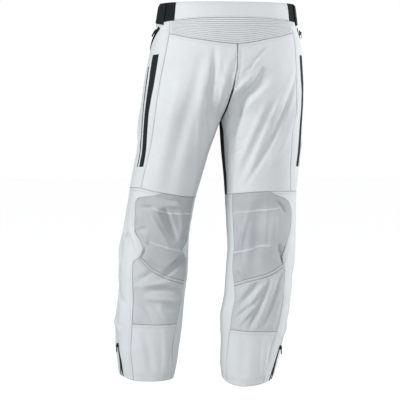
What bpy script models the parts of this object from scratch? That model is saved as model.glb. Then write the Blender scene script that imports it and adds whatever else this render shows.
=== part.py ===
"""Motorcycle overpants, hollow and holding their filled-out shape, at their real size.

Frame: metres, +Z up. The origin is the middle of the waist opening, half way up the
waistband. The garment's front faces -Y and its left leg lies towards +X.

Every panel is a patch of one cloth surface. A place on the surface is a side, a turn and a
height. The turn runs once round a leg from the inseam: 0.25 is the back, 0.5 the outside
and 0.75 the front. Above the crotch the leg's ring widens until its middle is the middle
of the body, which cuts it off, so over the hips a side only has turns 0.25 to 0.75.
"""
from collections import namedtuple
import math

import bmesh
import bpy
from mathutils import Matrix, Vector
import numpy as np

# ---------------------------------------------------------------- driving sizes, metres
CLOTH_WALL = 0.0018
MESH_WALL = 0.0016
WEBBING_WALL = 0.0024
SEAM_GAP = 0.0003
WAIST_TOP = 0.022
CROTCH_HEIGHT = -0.293
HIP_SPLIT_HEIGHT = -0.095
HIP_SPLIT_POWER = 1.9
SQUARENESS = 2.25
GIRTH = 0.58
FOLD_END = 0.6
BACK_TURN = 0.25
FRONT_TURN = 0.75
RIB_COUNT = 12
RIB_HEIGHT = 0.0013
STRIP_HALF_HEIGHT = 0.0040
VENT_GAP_TOP = 0.002
VENT_GAP_HEM = 0.022
TAPE_WIDTH = 0.0055
TAPE_WALL = 0.0012
SNAP_RADIUS = 0.0085
SNAP_HEIGHT = 0.0030
LYING_GAP = 0.0005
YOKE_COLUMNS = 16
SLIDER_WIDTH = 0.0090
SLIDER_LENGTH = 0.0120
SLIDER_THICKNESS = 0.0030
SLIDER_BEVEL = 0.0007
ARCH_RADIUS = 0.0034
ARCH_BAR = 0.0009
ARCH_SINK = 0.0004
HINGE_RISE = 0.0012
PULL_BAR_HALF = 0.0006
PULL_SLOT_LENGTH = 0.0052
PULL_SLOT_HALF = 0.0016
PULL_HALF_WIDTH = 0.0030
PULL_LENGTH = 0.0180
SIDES = ("left", "right")

# Heights that nothing passes, between which each row is looked for.
LOWEST = -1.10
HIGHEST = 0.10

# ---------------------------------------------------------------- the outline
# Each row is one level ring: x of the outside and of the inside, y of the back and front.
Ring = namedtuple("Ring", "height outer inner back front")
RINGS = {
    "left": (
        Ring(0.052, 0.180, -0.003, 0.108, -0.116),
        Ring(0.012, 0.186, -0.004, 0.114, -0.122),
        Ring(-0.046, 0.196, -0.006, 0.124, -0.126),
        Ring(-0.088, 0.207, -0.008, 0.133, -0.127),
        Ring(-0.138, 0.219, -0.007, 0.140, -0.126),
        Ring(-0.188, 0.228, 0.000, 0.141, -0.123),
        Ring(-0.238, 0.235, 0.010, 0.134, -0.120),
        Ring(-0.293, 0.240, 0.020, 0.122, -0.119),
        Ring(-0.376, 0.247, 0.050, 0.106, -0.118),
        Ring(-0.442, 0.260, 0.069, 0.096, -0.114),
        Ring(-0.508, 0.271, 0.088, 0.086, -0.108),
        Ring(-0.574, 0.282, 0.099, 0.080, -0.104),
        Ring(-0.640, 0.292, 0.107, 0.082, -0.096),
        Ring(-0.706, 0.298, 0.110, 0.086, -0.092),
        Ring(-0.772, 0.300, 0.118, 0.086, -0.090),
        Ring(-0.838, 0.307, 0.124, 0.083, -0.090),
        Ring(-0.904, 0.307, 0.132, 0.080, -0.092),
        Ring(-0.953, 0.302, 0.138, 0.076, -0.094),
        Ring(-1.020, 0.293, 0.152, 0.070, -0.096),
    ),
    "right": (
        Ring(0.052, -0.176, -0.003, 0.108, -0.116),
        Ring(0.012, -0.186, -0.004, 0.114, -0.122),
        Ring(-0.046, -0.193, -0.006, 0.124, -0.126),
        Ring(-0.088, -0.203, -0.008, 0.133, -0.127),
        Ring(-0.138, -0.206, -0.007, 0.140, -0.126),
        Ring(-0.188, -0.208, 0.000, 0.141, -0.123),
        Ring(-0.238, -0.208, 0.010, 0.134, -0.120),
        Ring(-0.293, -0.206, 0.020, 0.122, -0.119),
        Ring(-0.376, -0.203, 0.014, 0.108, -0.116),
        Ring(-0.442, -0.197, 0.008, 0.100, -0.110),
        Ring(-0.508, -0.192, 0.003, 0.091, -0.104),
        Ring(-0.574, -0.192, 0.000, 0.086, -0.099),
        Ring(-0.640, -0.189, -0.003, 0.088, -0.090),
        Ring(-0.706, -0.181, 0.003, 0.093, -0.085),
        Ring(-0.772, -0.178, 0.008, 0.095, -0.080),
        Ring(-0.838, -0.167, 0.019, 0.093, -0.078),
        Ring(-0.904, -0.153, 0.017, 0.090, -0.080),
        Ring(-0.953, -0.142, 0.018, 0.086, -0.082),
        Ring(-1.030, -0.118, 0.008, 0.080, -0.084),
    ),
}

# ---------------------------------------------------------------- seams that run across
# Height of each seam at some turns, on the left and on the right.
Cross = namedtuple("Cross", "turn left right")
CROSS_SEAMS = {
    "waist_top": (Cross(0.0, WAIST_TOP, WAIST_TOP), Cross(1.0, WAIST_TOP, WAIST_TOP)),
    "waist_seam": (
        Cross(0.250, -0.0210, -0.0210),
        Cross(0.300, -0.0220, -0.0218),
        Cross(0.350, -0.0248, -0.0240),
        Cross(0.400, -0.0280, -0.0265),
        Cross(0.500, -0.0315, -0.0290),
        Cross(0.625, -0.0260, -0.0260),
        Cross(0.750, -0.0220, -0.0220),
    ),
    "yoke_seam": (
        Cross(0.250, -0.0915, -0.0915),
        Cross(0.270, -0.0890, -0.0880),
        Cross(0.290, -0.0855, -0.0830),
        Cross(0.315, -0.0805, -0.0765),
        Cross(0.350, -0.0740, -0.0695),
        Cross(0.405, -0.0640, -0.0600),
        Cross(0.750, -0.0700, -0.0700),
    ),
    "crotch": (Cross(0.0, CROTCH_HEIGHT, CROTCH_HEIGHT), Cross(1.0, CROTCH_HEIGHT, CROTCH_HEIGHT)),
    "knee_seam": (
        Cross(0.00, -0.503, -0.497),
        Cross(0.10, -0.502, -0.494),
        Cross(0.18, -0.499, -0.490),
        Cross(0.26, -0.491, -0.487),
        Cross(0.33, -0.483, -0.487),
        Cross(0.40, -0.477, -0.488),
        Cross(0.55, -0.478, -0.489),
        Cross(0.75, -0.488, -0.491),
        Cross(0.90, -0.5000, -0.4958),
        Cross(0.96, -0.5028, -0.4969),
        Cross(1.00, -0.503, -0.497),
    ),
    "strip": (
        Cross(0.00, -0.742, -0.748),
        Cross(0.09, -0.734, -0.741),
        Cross(0.19, -0.721, -0.726),
        Cross(0.25, -0.704, -0.716),
        Cross(0.32, -0.668, -0.694),
        Cross(0.36, -0.650, -0.678),
        Cross(0.45, -0.640, -0.655),
        Cross(0.75, -0.660, -0.670),
        Cross(1.00, -0.742, -0.748),
    ),
    "calf_seam": (
        Cross(0.00, -0.840, -0.857),
        Cross(0.20, -0.846, -0.866),
        Cross(0.34, -0.843, -0.869),
        Cross(0.75, -0.840, -0.860),
        Cross(1.00, -0.840, -0.857),
    ),
    "vent_top": (Cross(0.0, -0.905, -0.915), Cross(1.0, -0.905, -0.915)),
    "hem": (
        Cross(0.00, -0.996, -1.004),
        Cross(0.20, -1.000, -1.018),
        Cross(0.33, -0.998, -1.010),
        Cross(0.45, -0.988, -1.000),
        Cross(0.75, -0.985, -0.998),
        Cross(1.00, -0.996, -1.004),
    ),
}

# Widths of the black inner thigh panels, in turns from the middle seam.
Gusset = namedtuple("Gusset", "height back front")
GUSSET_WIDTHS = (
    Gusset(-0.175, 0.0000, 0.0000),
    Gusset(-0.189, 0.0006, 0.0006),
    Gusset(-0.225, 0.0060, 0.0120),
    Gusset(-0.270, 0.0120, 0.0400),
    Gusset(-0.300, 0.0280, 0.0700),
    Gusset(-0.330, 0.0360, 0.0800),
    Gusset(-0.440, 0.0310, 0.0900),
    Gusset(-0.505, 0.0220, 0.0950),
)

# ---------------------------------------------------------------- seams that run down
# Turn of each seam at some heights, on the left and on the right.
Down = namedtuple("Down", "height left right")
DOWN_SEAMS = {
    "waist_side_back": (Down(0.05, 0.396, 0.400), Down(-0.10, 0.396, 0.400)),
    "waist_side_front": (Down(0.05, 0.550, 0.550), Down(-0.10, 0.550, 0.550)),
    "side_back": (
        Down(-0.020, 0.412, 0.412),
        Down(-0.064, 0.406, 0.406),
        Down(-0.141, 0.403, 0.400),
        Down(-0.188, 0.398, 0.392),
        Down(-0.230, 0.388, 0.380),
        Down(-0.291, 0.374, 0.360),
        Down(-0.342, 0.374, 0.350),
        Down(-0.401, 0.379, 0.350),
        Down(-0.500, 0.382, 0.369),
    ),
    "side_front": (Down(-0.02, 0.595, 0.595), Down(-0.29, 0.630, 0.630), Down(-0.50, 0.640, 0.640)),
    "mesh_inner": (
        Down(-0.495, 0.076, 0.078),
        Down(-0.600, 0.076, 0.076),
        Down(-0.680, 0.074, 0.072),
        Down(-0.738, 0.088, 0.098),
        Down(-0.790, 0.094, 0.114),
        Down(-0.842, 0.118, 0.114),
        Down(-0.900, 0.126, 0.088),
        Down(-1.020, 0.098, 0.066),
    ),
    "mesh_outer": (
        Down(-0.490, 0.262, 0.262),
        Down(-0.496, 0.288, 0.280),
        Down(-0.504, 0.385, 0.318),
        Down(-0.515, 0.405, 0.352),
        Down(-0.550, 0.390, 0.378),
        Down(-0.590, 0.374, 0.371),
        Down(-0.620, 0.330, 0.350),
        Down(-0.645, 0.314, 0.334),
        Down(-0.662, 0.326, 0.327),
        Down(-0.674, 0.358, 0.331),
        Down(-0.690, 0.362, 0.340),
        Down(-0.705, 0.361, 0.347),
        Down(-0.760, 0.352, 0.348),
        Down(-0.843, 0.342, 0.349),
        Down(-0.910, 0.346, 0.326),
        Down(-1.020, 0.336, 0.314),
    ),
    "outseam": (
        Down(-0.480, 0.452, 0.440),
        Down(-0.700, 0.452, 0.432),
        Down(-0.860, 0.450, 0.420),
        Down(-0.915, 0.446, 0.406),
        Down(-0.960, 0.438, 0.392),
        Down(-1.020, 0.438, 0.390),
    ),
    "shin_front": (Down(-0.48, 0.625, 0.625), Down(-1.02, 0.610, 0.600)),
    "inner_front": (Down(-0.48, -0.098, -0.098), Down(-1.02, -0.110, -0.110)),
}

# The black inner thigh panels, from the row of the seat band at which their points start.
GUSSET_FIRST_ROW = 4
GUSSETS = (
    ("inner_thigh_back", "centre_back", "gusset_back", 2),
    ("inner_thigh_front", "gusset_front", "centre_front", 3),
)

# ---------------------------------------------------------------- pieces that lie on panels
# A patch between two turns, with the height of its top and foot at each.
Patch = namedtuple("Patch", "turn_a turn_b top_a top_b foot_a foot_b columns rows")
ADJUSTER = Patch(0.437, 0.580, 0.019, 0.012, -0.038, -0.022, 14, 2)
FLY = Patch(0.7075, 0.7495, -0.026, -0.024, -0.175, -0.195, 5, 9)
WAIST_TAB = Patch(0.7125, 0.7725, 0.020, 0.020, -0.020, -0.020, 8, 2)

# The hand pocket's zip runs straight between two places.
Spot = namedtuple("Spot", "turn height")
POCKET_TOP = Spot(0.461, -0.044)
POCKET_FOOT = Spot(0.606, -0.157)
POCKET_TAPE_HALF = 0.0052
POCKET_ROWS = 10
POCKET_SLIDER_SHARE = 0.10
POCKET_SLIDER_AHEAD = 0.05
POCKET_SLIDER_RISE = 0.0006

# ---------------------------------------------------------------- the largest folds
# A soft ridge (depth above zero) or trough (below zero) along one straight run.
Fold = namedtuple("Fold", "side turn_a height_a turn_b height_b half_width depth")
FOLDS = (
    Fold("left", 0.272, -0.170, 0.150, -0.320, 0.028, -0.0055),
    Fold("left", 0.245, -0.140, 0.200, -0.255, 0.024, 0.0040),
    Fold("left", 0.298, -0.222, 0.272, -0.417, 0.036, -0.0055),
    Fold("left", 0.330, -0.257, 0.340, -0.452, 0.034, 0.0050),
    Fold("right", 0.308, -0.107, 0.262, -0.160, 0.022, -0.0045),
    Fold("right", 0.290, -0.155, 0.230, -0.205, 0.016, 0.0050),
    Fold("right", 0.275, -0.172, 0.200, -0.235, 0.020, -0.0055),
    Fold("right", 0.274, -0.246, 0.150, -0.390, 0.036, 0.0060),
    Fold("right", 0.348, -0.232, 0.200, -0.430, 0.034, -0.0060),
    Fold("left", 0.255, -0.540, 0.205, -0.600, 0.022, -0.0055),
    Fold("left", 0.300, -0.560, 0.225, -0.635, 0.020, 0.0045),
    Fold("left", 0.140, -0.620, 0.110, -0.700, 0.026, -0.0060),
    Fold("right", 0.150, -0.550, 0.110, -0.620, 0.024, 0.0045),
    Fold("right", 0.250, -0.560, 0.200, -0.640, 0.022, -0.0045),
    Fold("left", 0.350, -0.735, 0.245, -0.712, 0.018, -0.0045),
    Fold("left", 0.270, -0.755, 0.120, -0.750, 0.020, -0.0060),
    Fold("right", 0.215, -0.740, 0.120, -0.800, 0.022, -0.0055),
    Fold("right", 0.250, -0.735, 0.110, -0.850, 0.022, 0.0045),
    Fold("right", 0.335, -0.720, 0.260, -0.820, 0.022, -0.0050),
    Fold("left", 0.780, -0.440, 0.700, -0.560, 0.032, -0.0055),
    Fold("right", 0.780, -0.440, 0.700, -0.560, 0.032, -0.0055),
    Fold("left", 0.820, -0.270, 0.700, -0.190, 0.026, -0.0045),
    Fold("right", 0.820, -0.270, 0.700, -0.190, 0.026, -0.0045),
    Fold("left", 0.700, -0.860, 0.830, -0.900, 0.026, -0.0050),
    Fold("right", 0.700, -0.880, 0.830, -0.920, 0.026, -0.0050),
)

# ---------------------------------------------------------------- materials
Finish = namedtuple("Finish", "name colour roughness metallic")
SHELL_CLOTH = Finish("shell_cloth", (0.74, 0.76, 0.76), 0.80, 0.0)
MESH_CLOTH = Finish("mesh_cloth", (0.42, 0.44, 0.44), 0.85, 0.0)
BLACK_CLOTH = Finish("black_cloth", (0.012, 0.016, 0.018), 0.75, 0.0)
ZIP_TAPE = Finish("zip_tape", (0.015, 0.018, 0.020), 0.70, 0.0)
BLACK_METAL = Finish("black_metal", (0.08, 0.08, 0.085), 0.40, 0.9)


# ================================================================ the cloth surface
def curve(rows, across, column, x):
    """Smooth value of one table column at x, without overshoot between its rows."""
    rows = sorted(rows, key=lambda row: getattr(row, across))
    xs = np.array([getattr(row, across) for row in rows])
    ys = np.array([getattr(row, column) for row in rows])
    step = np.diff(xs)
    slope = np.diff(ys) / step
    tangent = np.zeros_like(ys)
    tangent[0] = slope[0]
    tangent[-1] = slope[-1]
    before, after = slope[:-1], slope[1:]
    keep = before * after > 0.0
    weight_a = 2.0 * step[1:] + step[:-1]
    weight_b = step[1:] + 2.0 * step[:-1]
    safe_a = np.where(keep, before, 1.0)
    safe_b = np.where(keep, after, 1.0)
    mean = (weight_a + weight_b) / (weight_a / safe_a + weight_b / safe_b)
    tangent[1:-1] = np.where(keep, mean, 0.0)
    x = np.clip(x, xs[0], xs[-1])
    i = np.clip(np.searchsorted(xs, x) - 1, 0, len(step) - 1)
    t = (x - xs[i]) / step[i]
    rise = ys[i + 1] - ys[i]
    return (
        ys[i]
        + rise * t * t * (3.0 - 2.0 * t)
        + step[i] * tangent[i] * t * (1.0 - t) ** 2
        - step[i] * tangent[i + 1] * t * t * (1.0 - t)
    )


def bulge(value, power):
    """A signed power, which squares off a ring."""
    return np.sign(value) * np.abs(value) ** power


def inside(side, height):
    """x of the inside: one middle line above the crotch, each leg's own below it."""
    hips = [ring for ring in RINGS["left"] if ring.height >= CROTCH_HEIGHT]
    leg = [ring for ring in RINGS[side] if ring.height <= CROTCH_HEIGHT]
    middle_line = curve(hips, "height", "inner", height)
    return np.where(height > CROTCH_HEIGHT, middle_line, curve(leg, "height", "inner", height))


def spread(height):
    """How far the ring has become a leg's own: 0 at the hips, 1 at the crotch and below."""
    fall = (HIP_SPLIT_HEIGHT - height) / (HIP_SPLIT_HEIGHT - CROTCH_HEIGHT)
    return np.sin(0.5 * math.pi * np.clip(fall, 0.0, 1.0) ** HIP_SPLIT_POWER)


def middle_turn(height):
    """Turn at which the middle of the body cuts a side's ring off, at the back."""
    share = spread(height)
    level = share / (2.0 - share)
    return np.arccos(level ** (0.5 * SQUARENESS)) / (2.0 * math.pi)


def form(side, turn, height):
    """Point of the smooth outline, before any fold."""
    ring = {name: curve(RINGS[side], "height", name, height) for name in ("outer", "back", "front")}
    inner = inside(side, height)
    width = ring["outer"] - inner
    middle_x = inner + 0.5 * width * spread(height)
    reach_x = ring["outer"] - middle_x
    middle_y = 0.5 * (ring["back"] + ring["front"])
    reach_y = 0.5 * (ring["back"] - ring["front"])
    angle = 2.0 * math.pi * turn
    x = middle_x - reach_x * bulge(np.cos(angle), 2.0 / SQUARENESS)
    y = middle_y + reach_y * bulge(np.sin(angle), 2.0 / SQUARENESS)
    return np.stack([x, y, height + 0.0 * turn], axis=-1)


def outward(side, turn, height):
    """Level unit vector square to the outline, away from the hollow inside.

    It has no z, so a row of points keeps its height whatever its lift, and the walls of
    two panels that meet at a seam stay apart.
    """
    step = 0.002
    along = form(side, turn + step, height) - form(side, turn - step, height)
    sign = 1.0 if side == "left" else -1.0
    normal = np.stack([-sign * along[..., 1], sign * along[..., 0], 0.0 * along[..., 2]], axis=-1)
    return normal / np.linalg.norm(normal, axis=-1, keepdims=True)


def fold_height(side, turn, height):
    """How far the folds push the cloth out at a place."""
    total = np.zeros_like(turn + height)
    for fold in FOLDS:
        if fold.side != side:
            continue
        run_x = (fold.turn_b - fold.turn_a) * GIRTH
        run_y = fold.height_b - fold.height_a
        length = math.hypot(run_x, run_y)
        off_x = (turn - fold.turn_a) * GIRTH
        off_y = height - fold.height_a
        along = (off_x * run_x + off_y * run_y) / length
        beside = (off_y * run_x - off_x * run_y) / length
        beyond = np.maximum(np.maximum(-along, along - length), 0.0)
        reach = (beside / fold.half_width) ** 2 + (FOLD_END * beyond / fold.half_width) ** 2
        total = total + fold.depth * np.clip(1.0 - reach, 0.0, 1.0) ** 2
    return total


def across_middle(turn):
    """Which turns of a piece that crosses the middle lie on the right, and where there."""
    mirrored = (turn < BACK_TURN) | (turn > FRONT_TURN)
    return mirrored, np.where(turn < BACK_TURN, 2.0 * BACK_TURN, 2.0 * FRONT_TURN) - turn


def place(side, turn, height, lift=0.0):
    """Point on the cloth, lift metres out from it. Side `both` runs across the middle."""
    turn, height = np.broadcast_arrays(np.asarray(turn, float), np.asarray(height, float))
    if side == "both":
        mirrored, other = across_middle(turn)
        points = place("left", np.where(mirrored, 0.5, turn), height, lift)
        opposite = place("right", np.where(mirrored, other, 0.5), height, lift)
        return np.where(mirrored[..., None], opposite, points)
    sign = 1.0 if side == "left" else -1.0
    lift = np.asarray(lift, float)[..., None] if np.ndim(lift) else lift
    push = fold_height(side, turn, height)[..., None] + lift
    points = form(side, turn, height) + outward(side, turn, height) * push
    points[..., 0] += sign * 0.5 * SEAM_GAP
    return points


def seam_turn(side, name, height):
    """Turn at which a seam that runs down lies at a height."""
    middle = middle_turn(height)
    if name == "centre_back":
        return middle
    if name == "centre_front":
        return 1.0 - middle
    if name == "gusset_back":
        return middle + curve(GUSSET_WIDTHS, "height", "back", height)
    if name == "gusset_front":
        return 1.0 - middle - curve(GUSSET_WIDTHS, "height", "front", height)
    return curve(DOWN_SEAMS[name], "height", side, height)


def seam_height(side, name, turn):
    """Height at which a seam that runs across lies at a turn."""
    if side == "both":
        mirrored, other = across_middle(turn)
        left_height = curve(CROSS_SEAMS[name], "turn", "left", turn)
        return np.where(mirrored, curve(CROSS_SEAMS[name], "turn", "right", other), left_height)
    if name in ("strip_top", "strip_bottom"):
        sign = 1.0 if name == "strip_top" else -1.0
        return seam_height(side, "strip", turn) + sign * STRIP_HALF_HEIGHT
    return curve(CROSS_SEAMS[name], "turn", side, turn % 1.0)


# ================================================================ panels
# A band lies between two seams that run across. Every panel in a band has its rows there,
# so neighbours meet point to point. A crowd above 1 packs rows towards the band's foot.
Band = namedtuple("Band", "top bottom rows crowd")
BANDS = {
    "waist": Band("waist_top", "waist_seam", 2, 1.0),
    "yoke": Band("waist_seam", "yoke_seam", 2, 1.0),
    "seat": Band("yoke_seam", "crotch", 13, 1.8),
    "thigh": Band("crotch", "knee_seam", 9, 1.0),
    "knee": Band("knee_seam", "strip_top", 10, 1.0),
    "strip": Band("strip_top", "strip_bottom", 1, 1.0),
    "calf": Band("strip_bottom", "calf_seam", 5, 1.0),
    "shin": Band("calf_seam", "vent_top", 3, 1.0),
    "vent": Band("vent_top", "hem", 4, 1.0),
}
LEG_BANDS = ("knee", "strip", "calf", "shin", "vent")

Panel = namedtuple("Panel", "name sides bands first second columns wall finish")
PANELS = (
    Panel("seat", "LR", ("seat", "thigh"), "gusset_back", "side_back", 8, CLOTH_WALL, SHELL_CLOTH),
    Panel("side_thigh", "LR", ("yoke", "seat", "thigh"), "side_back", "side_front", 7,
          CLOTH_WALL, SHELL_CLOTH),
    Panel("front_thigh", "LR", ("yoke", "seat", "thigh"), "side_front", "gusset_front", 6,
          CLOTH_WALL, SHELL_CLOTH),
    Panel("knee_back", "LR", ("knee",), "mesh_inner", "mesh_outer", 8, MESH_WALL, MESH_CLOTH),
    Panel("calf_strip", "LR", ("strip",), "mesh_inner", "mesh_outer", 8, CLOTH_WALL, SHELL_CLOTH),
    Panel("calf_mesh", "LR", ("calf",), "mesh_inner", "mesh_outer", 8, MESH_WALL, MESH_CLOTH),
    Panel("calf_hem", "LR", ("shin", "vent"), "mesh_inner", "mesh_outer", 8,
          CLOTH_WALL, SHELL_CLOTH),
    Panel("shin_side_back", "LR", LEG_BANDS, "mesh_outer", "outseam", 3, CLOTH_WALL, SHELL_CLOTH),
    Panel("shin_side_front", "LR", LEG_BANDS, "outseam", "shin_front", 4, CLOTH_WALL, SHELL_CLOTH),
    Panel("shin_front", "LR", LEG_BANDS, "shin_front", "inner_front", 6, CLOTH_WALL, SHELL_CLOTH),
    Panel("shin_inner", "LR", LEG_BANDS, "inner_front", "mesh_inner", 4, CLOTH_WALL, SHELL_CLOTH),
)


def band_rows(band, first_row=0):
    """Shares of the way down a band at which its rows lie."""
    steps = np.arange(first_row, band.rows + 1) / band.rows
    return 1.0 - (1.0 - steps) ** band.crowd


def ruled(side, edge_a, edge_b, band, share_down, share_across):
    """Turns and heights of a band's points between two edges.

    An edge is a function from height to turn. The rows follow the band's seams, which
    also change with the turn, so each height is found by halving a bracket round it.
    """
    down, across = np.meshgrid(share_down, share_across, indexing="ij")
    low = np.full_like(down, LOWEST)
    high = np.full_like(down, HIGHEST)
    for _ in range(40):
        height = 0.5 * (low + high)
        first = edge_a(height)
        turn = first + (edge_b(height) - first) * across
        top = seam_height(side, band.top, turn)
        bottom = seam_height(side, band.bottom, turn)
        below = height < top + (bottom - top) * down
        low = np.where(below, height, low)
        high = np.where(below, high, height)
    return turn, height


def cloth_object(name, finish, turns, heights, side, wall, lift=0.0, relief=0.0):
    """A wall of cloth over a grid of places, closed round its edges.

    The outer face stands `lift` above the surface plus `relief`, and the inner face is
    plain, one wall below the lift.
    """
    outer = place(side, turns, heights, lift + relief)
    inner = place(side, turns, heights, lift - wall)
    rows, columns = turns.shape
    mesh = bpy.data.meshes.new(name)
    piece = bpy.data.objects.new(name, mesh)
    bpy.context.scene.collection.objects.link(piece)
    sheet = bmesh.new()
    front = [sheet.verts.new(point) for point in outer.reshape(-1, 3)]
    back = [sheet.verts.new(point) for point in inner.reshape(-1, 3)]
    for row in range(rows - 1):
        for column in range(columns - 1):
            a = row * columns + column
            corners = (a, a + 1, a + columns + 1, a + columns)
            sheet.faces.new([front[i] for i in corners])
            sheet.faces.new([back[i] for i in reversed(corners)])
    rim = list(range(columns))
    rim += [row * columns + columns - 1 for row in range(1, rows)]
    rim += [(rows - 1) * columns + column for column in reversed(range(columns - 1))]
    rim += [row * columns for row in reversed(range(1, rows - 1))]
    for a, b in zip(rim, rim[1:] + rim[:1]):
        sheet.faces.new([front[b], front[a], back[a], back[b]])
    bmesh.ops.recalc_face_normals(sheet, faces=sheet.faces)
    bmesh.ops.triangulate(sheet, faces=sheet.faces)
    sheet.to_mesh(mesh)
    sheet.free()
    finish_object(piece, finish)
    return piece


def finish_object(piece, finish):
    """Give a piece its material and smooth faces with sharp rims."""
    material = bpy.data.materials.get(finish.name) or bpy.data.materials.new(finish.name)
    material.use_nodes = True
    shader = material.node_tree.nodes["Principled BSDF"]
    shader.inputs["Base Color"].default_value = (*finish.colour, 1.0)
    shader.inputs["Roughness"].default_value = finish.roughness
    shader.inputs["Metallic"].default_value = finish.metallic
    piece.data.materials.append(material)
    piece.data.shade_smooth()
    piece.data.set_sharp_from_angle(angle=math.radians(50.0))


def seam_edge(side, name, shift=0.0, lap=0.0):
    """A seam as a function from height to turn, moved by some metres and whole turns."""

    def turn_at(height):
        return seam_turn(side, name, height) + shift / GIRTH + lap

    return turn_at


def vent_half_gap(side, height):
    """Half the space between the two edges of the side seam, wider down the vent."""
    top = seam_height(side, "vent_top", 0.45)
    foot = seam_height(side, "hem", 0.45)
    share = np.clip((top - height) / (top - foot), 0.0, 1.0)
    opened = VENT_GAP_TOP + (VENT_GAP_HEM - VENT_GAP_TOP) * share
    closed_above = height > top + 0.001
    return 0.5 * np.where(closed_above, SEAM_GAP, opened)


def outseam_edge(side, sign, inset=0.0):
    """The back (sign -1) or front (sign +1) edge of the side seam, with its open vent."""

    def turn_at(height):
        offset = vent_half_gap(side, height) + inset
        return seam_turn(side, "outseam", height) + sign * offset / GIRTH

    return turn_at


def centre_edge(side, name, sign):
    """The middle seam: the sides stand apart above the crotch, front and back below it."""

    def turn_at(height):
        legs = height < CROTCH_HEIGHT + 0.008
        return seam_turn(side, name, height) + np.where(legs, sign * 0.5 * SEAM_GAP / GIRTH, 0.0)

    return turn_at


def first_edge(side, name):
    """Edge of a panel that starts at a seam."""
    if name == "outseam":
        return outseam_edge(side, 1.0)
    if name.startswith("centre"):
        return centre_edge(side, name, 1.0)
    return seam_edge(side, name, 0.5 * SEAM_GAP)


def second_edge(side, name):
    """Edge of a panel that ends at a seam."""
    if name == "outseam":
        return outseam_edge(side, -1.0)
    if name.startswith("centre"):
        return centre_edge(side, name, -1.0)
    return seam_edge(side, name, -0.5 * SEAM_GAP, 1.0 if name == "inner_front" else 0.0)


def panel_grid(side, bands, edge_a, edge_b, columns, first_row=0):
    """Turns and heights over one or more bands, with half a seam gap at top and foot."""
    across = np.linspace(0.0, 1.0, columns + 1)
    turns, heights = [], []
    for index, name in enumerate(bands):
        band = BANDS[name]
        down = band_rows(band, first_row if index == 0 else 1)
        turn, height = ruled(side, edge_a, edge_b, band, down, across)
        turns.append(turn)
        heights.append(height)
    turns = np.concatenate(turns)
    heights = np.concatenate(heights)
    heights[0] -= 0.5 * SEAM_GAP
    heights[-1] += 0.5 * SEAM_GAP
    return turns, heights


def build_panels():
    """The flat-cut panels of both legs."""
    for panel in PANELS:
        for side in SIDES:
            edge_a = first_edge(side, panel.first)
            edge_b = second_edge(side, panel.second)
            turns, heights = panel_grid(side, panel.bands, edge_a, edge_b, panel.columns)
            name = f"{panel.name}_{side}"
            cloth_object(name, panel.finish, turns, heights, side, panel.wall)


def build_gussets():
    """The black inner thigh panels, which run up both sides of the crotch to a point."""
    for side in SIDES:
        for name, first, second, columns in GUSSETS:
            edge_a = first_edge(side, first)
            edge_b = second_edge(side, second)
            bands = ("seat", "thigh")
            turns, heights = panel_grid(side, bands, edge_a, edge_b, columns, GUSSET_FIRST_ROW)
            cloth_object(f"{name}_{side}", BLACK_CLOTH, turns, heights, side, CLOTH_WALL)


def build_yoke():
    """The elastic back yoke, ribbed all across its height on the outside."""
    band = Band("waist_seam", "yoke_seam", 2 * RIB_COUNT, 1.0)
    down = band_rows(band)
    across = np.linspace(0.0, 1.0, YOKE_COLUMNS + 1)
    right = second_edge("right", "side_back")
    left = second_edge("left", "side_back")
    turns, heights = ruled("both", lambda height: 2.0 * BACK_TURN - right(height), left, band, down, across)
    heights[0] -= 0.5 * SEAM_GAP
    heights[-1] += 0.5 * SEAM_GAP
    relief = np.zeros_like(turns)
    relief[1::2, 1:-1] = RIB_HEIGHT
    cloth_object("yoke_back", SHELL_CLOTH, turns, heights, "both", CLOTH_WALL, relief=relief)


def build_waistband():
    """The waistband: one back piece, two black elastic sides and two front pieces."""
    right = second_edge("right", "waist_side_back")
    left = second_edge("left", "waist_side_back")
    turns, heights = panel_grid("both", ("waist",), lambda height: 2.0 * BACK_TURN - right(height), left, 14)
    cloth_object("waistband_back", SHELL_CLOTH, turns, heights, "both", WEBBING_WALL)
    for side in SIDES:
        back = first_edge(side, "waist_side_back")
        middle = second_edge(side, "waist_side_front")
        turns, heights = panel_grid(side, ("waist",), back, middle, 8)
        cloth_object(f"waist_side_{side}", BLACK_CLOTH, turns, heights, side, WEBBING_WALL)
        middle = first_edge(side, "waist_side_front")
        front = second_edge(side, "centre_front")
        turns, heights = panel_grid(side, ("waist",), middle, front, 8)
        cloth_object(f"waistband_front_{side}", SHELL_CLOTH, turns, heights, side, WEBBING_WALL)


def lying_grid(patch):
    """Evenly spaced turns and heights of a patch that lies on the panels.

    Below the hips its turns keep their distance from the middle seam.
    """
    down = np.linspace(0.0, 1.0, patch.rows + 1)[:, None]
    shares = np.linspace(0.0, 1.0, patch.columns + 1)[None, :]
    top = patch.top_a + (patch.top_b - patch.top_a) * shares
    foot = patch.foot_a + (patch.foot_b - patch.foot_a) * shares
    heights = top + (foot - top) * down
    turns = patch.turn_a + (patch.turn_b - patch.turn_a) * shares
    return turns + BACK_TURN - middle_turn(heights), heights


def build_lying_pieces():
    """Adjuster tabs, fly and waist tab, sewn on top of the panels."""
    for side in SIDES:
        turns, heights = lying_grid(ADJUSTER)
        name = f"adjuster_tab_{side}"
        cloth_object(name, BLACK_CLOTH, turns, heights, side, WEBBING_WALL, LYING_GAP + WEBBING_WALL)
    turns, heights = lying_grid(FLY)
    cloth_object("fly", SHELL_CLOTH, turns, heights, "left", CLOTH_WALL, LYING_GAP + CLOTH_WALL)
    turns, heights = lying_grid(WAIST_TAB)
    lift = LYING_GAP + CLOTH_WALL
    cloth_object("waist_tab", SHELL_CLOTH, turns, heights, "both", CLOTH_WALL, lift)


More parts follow.
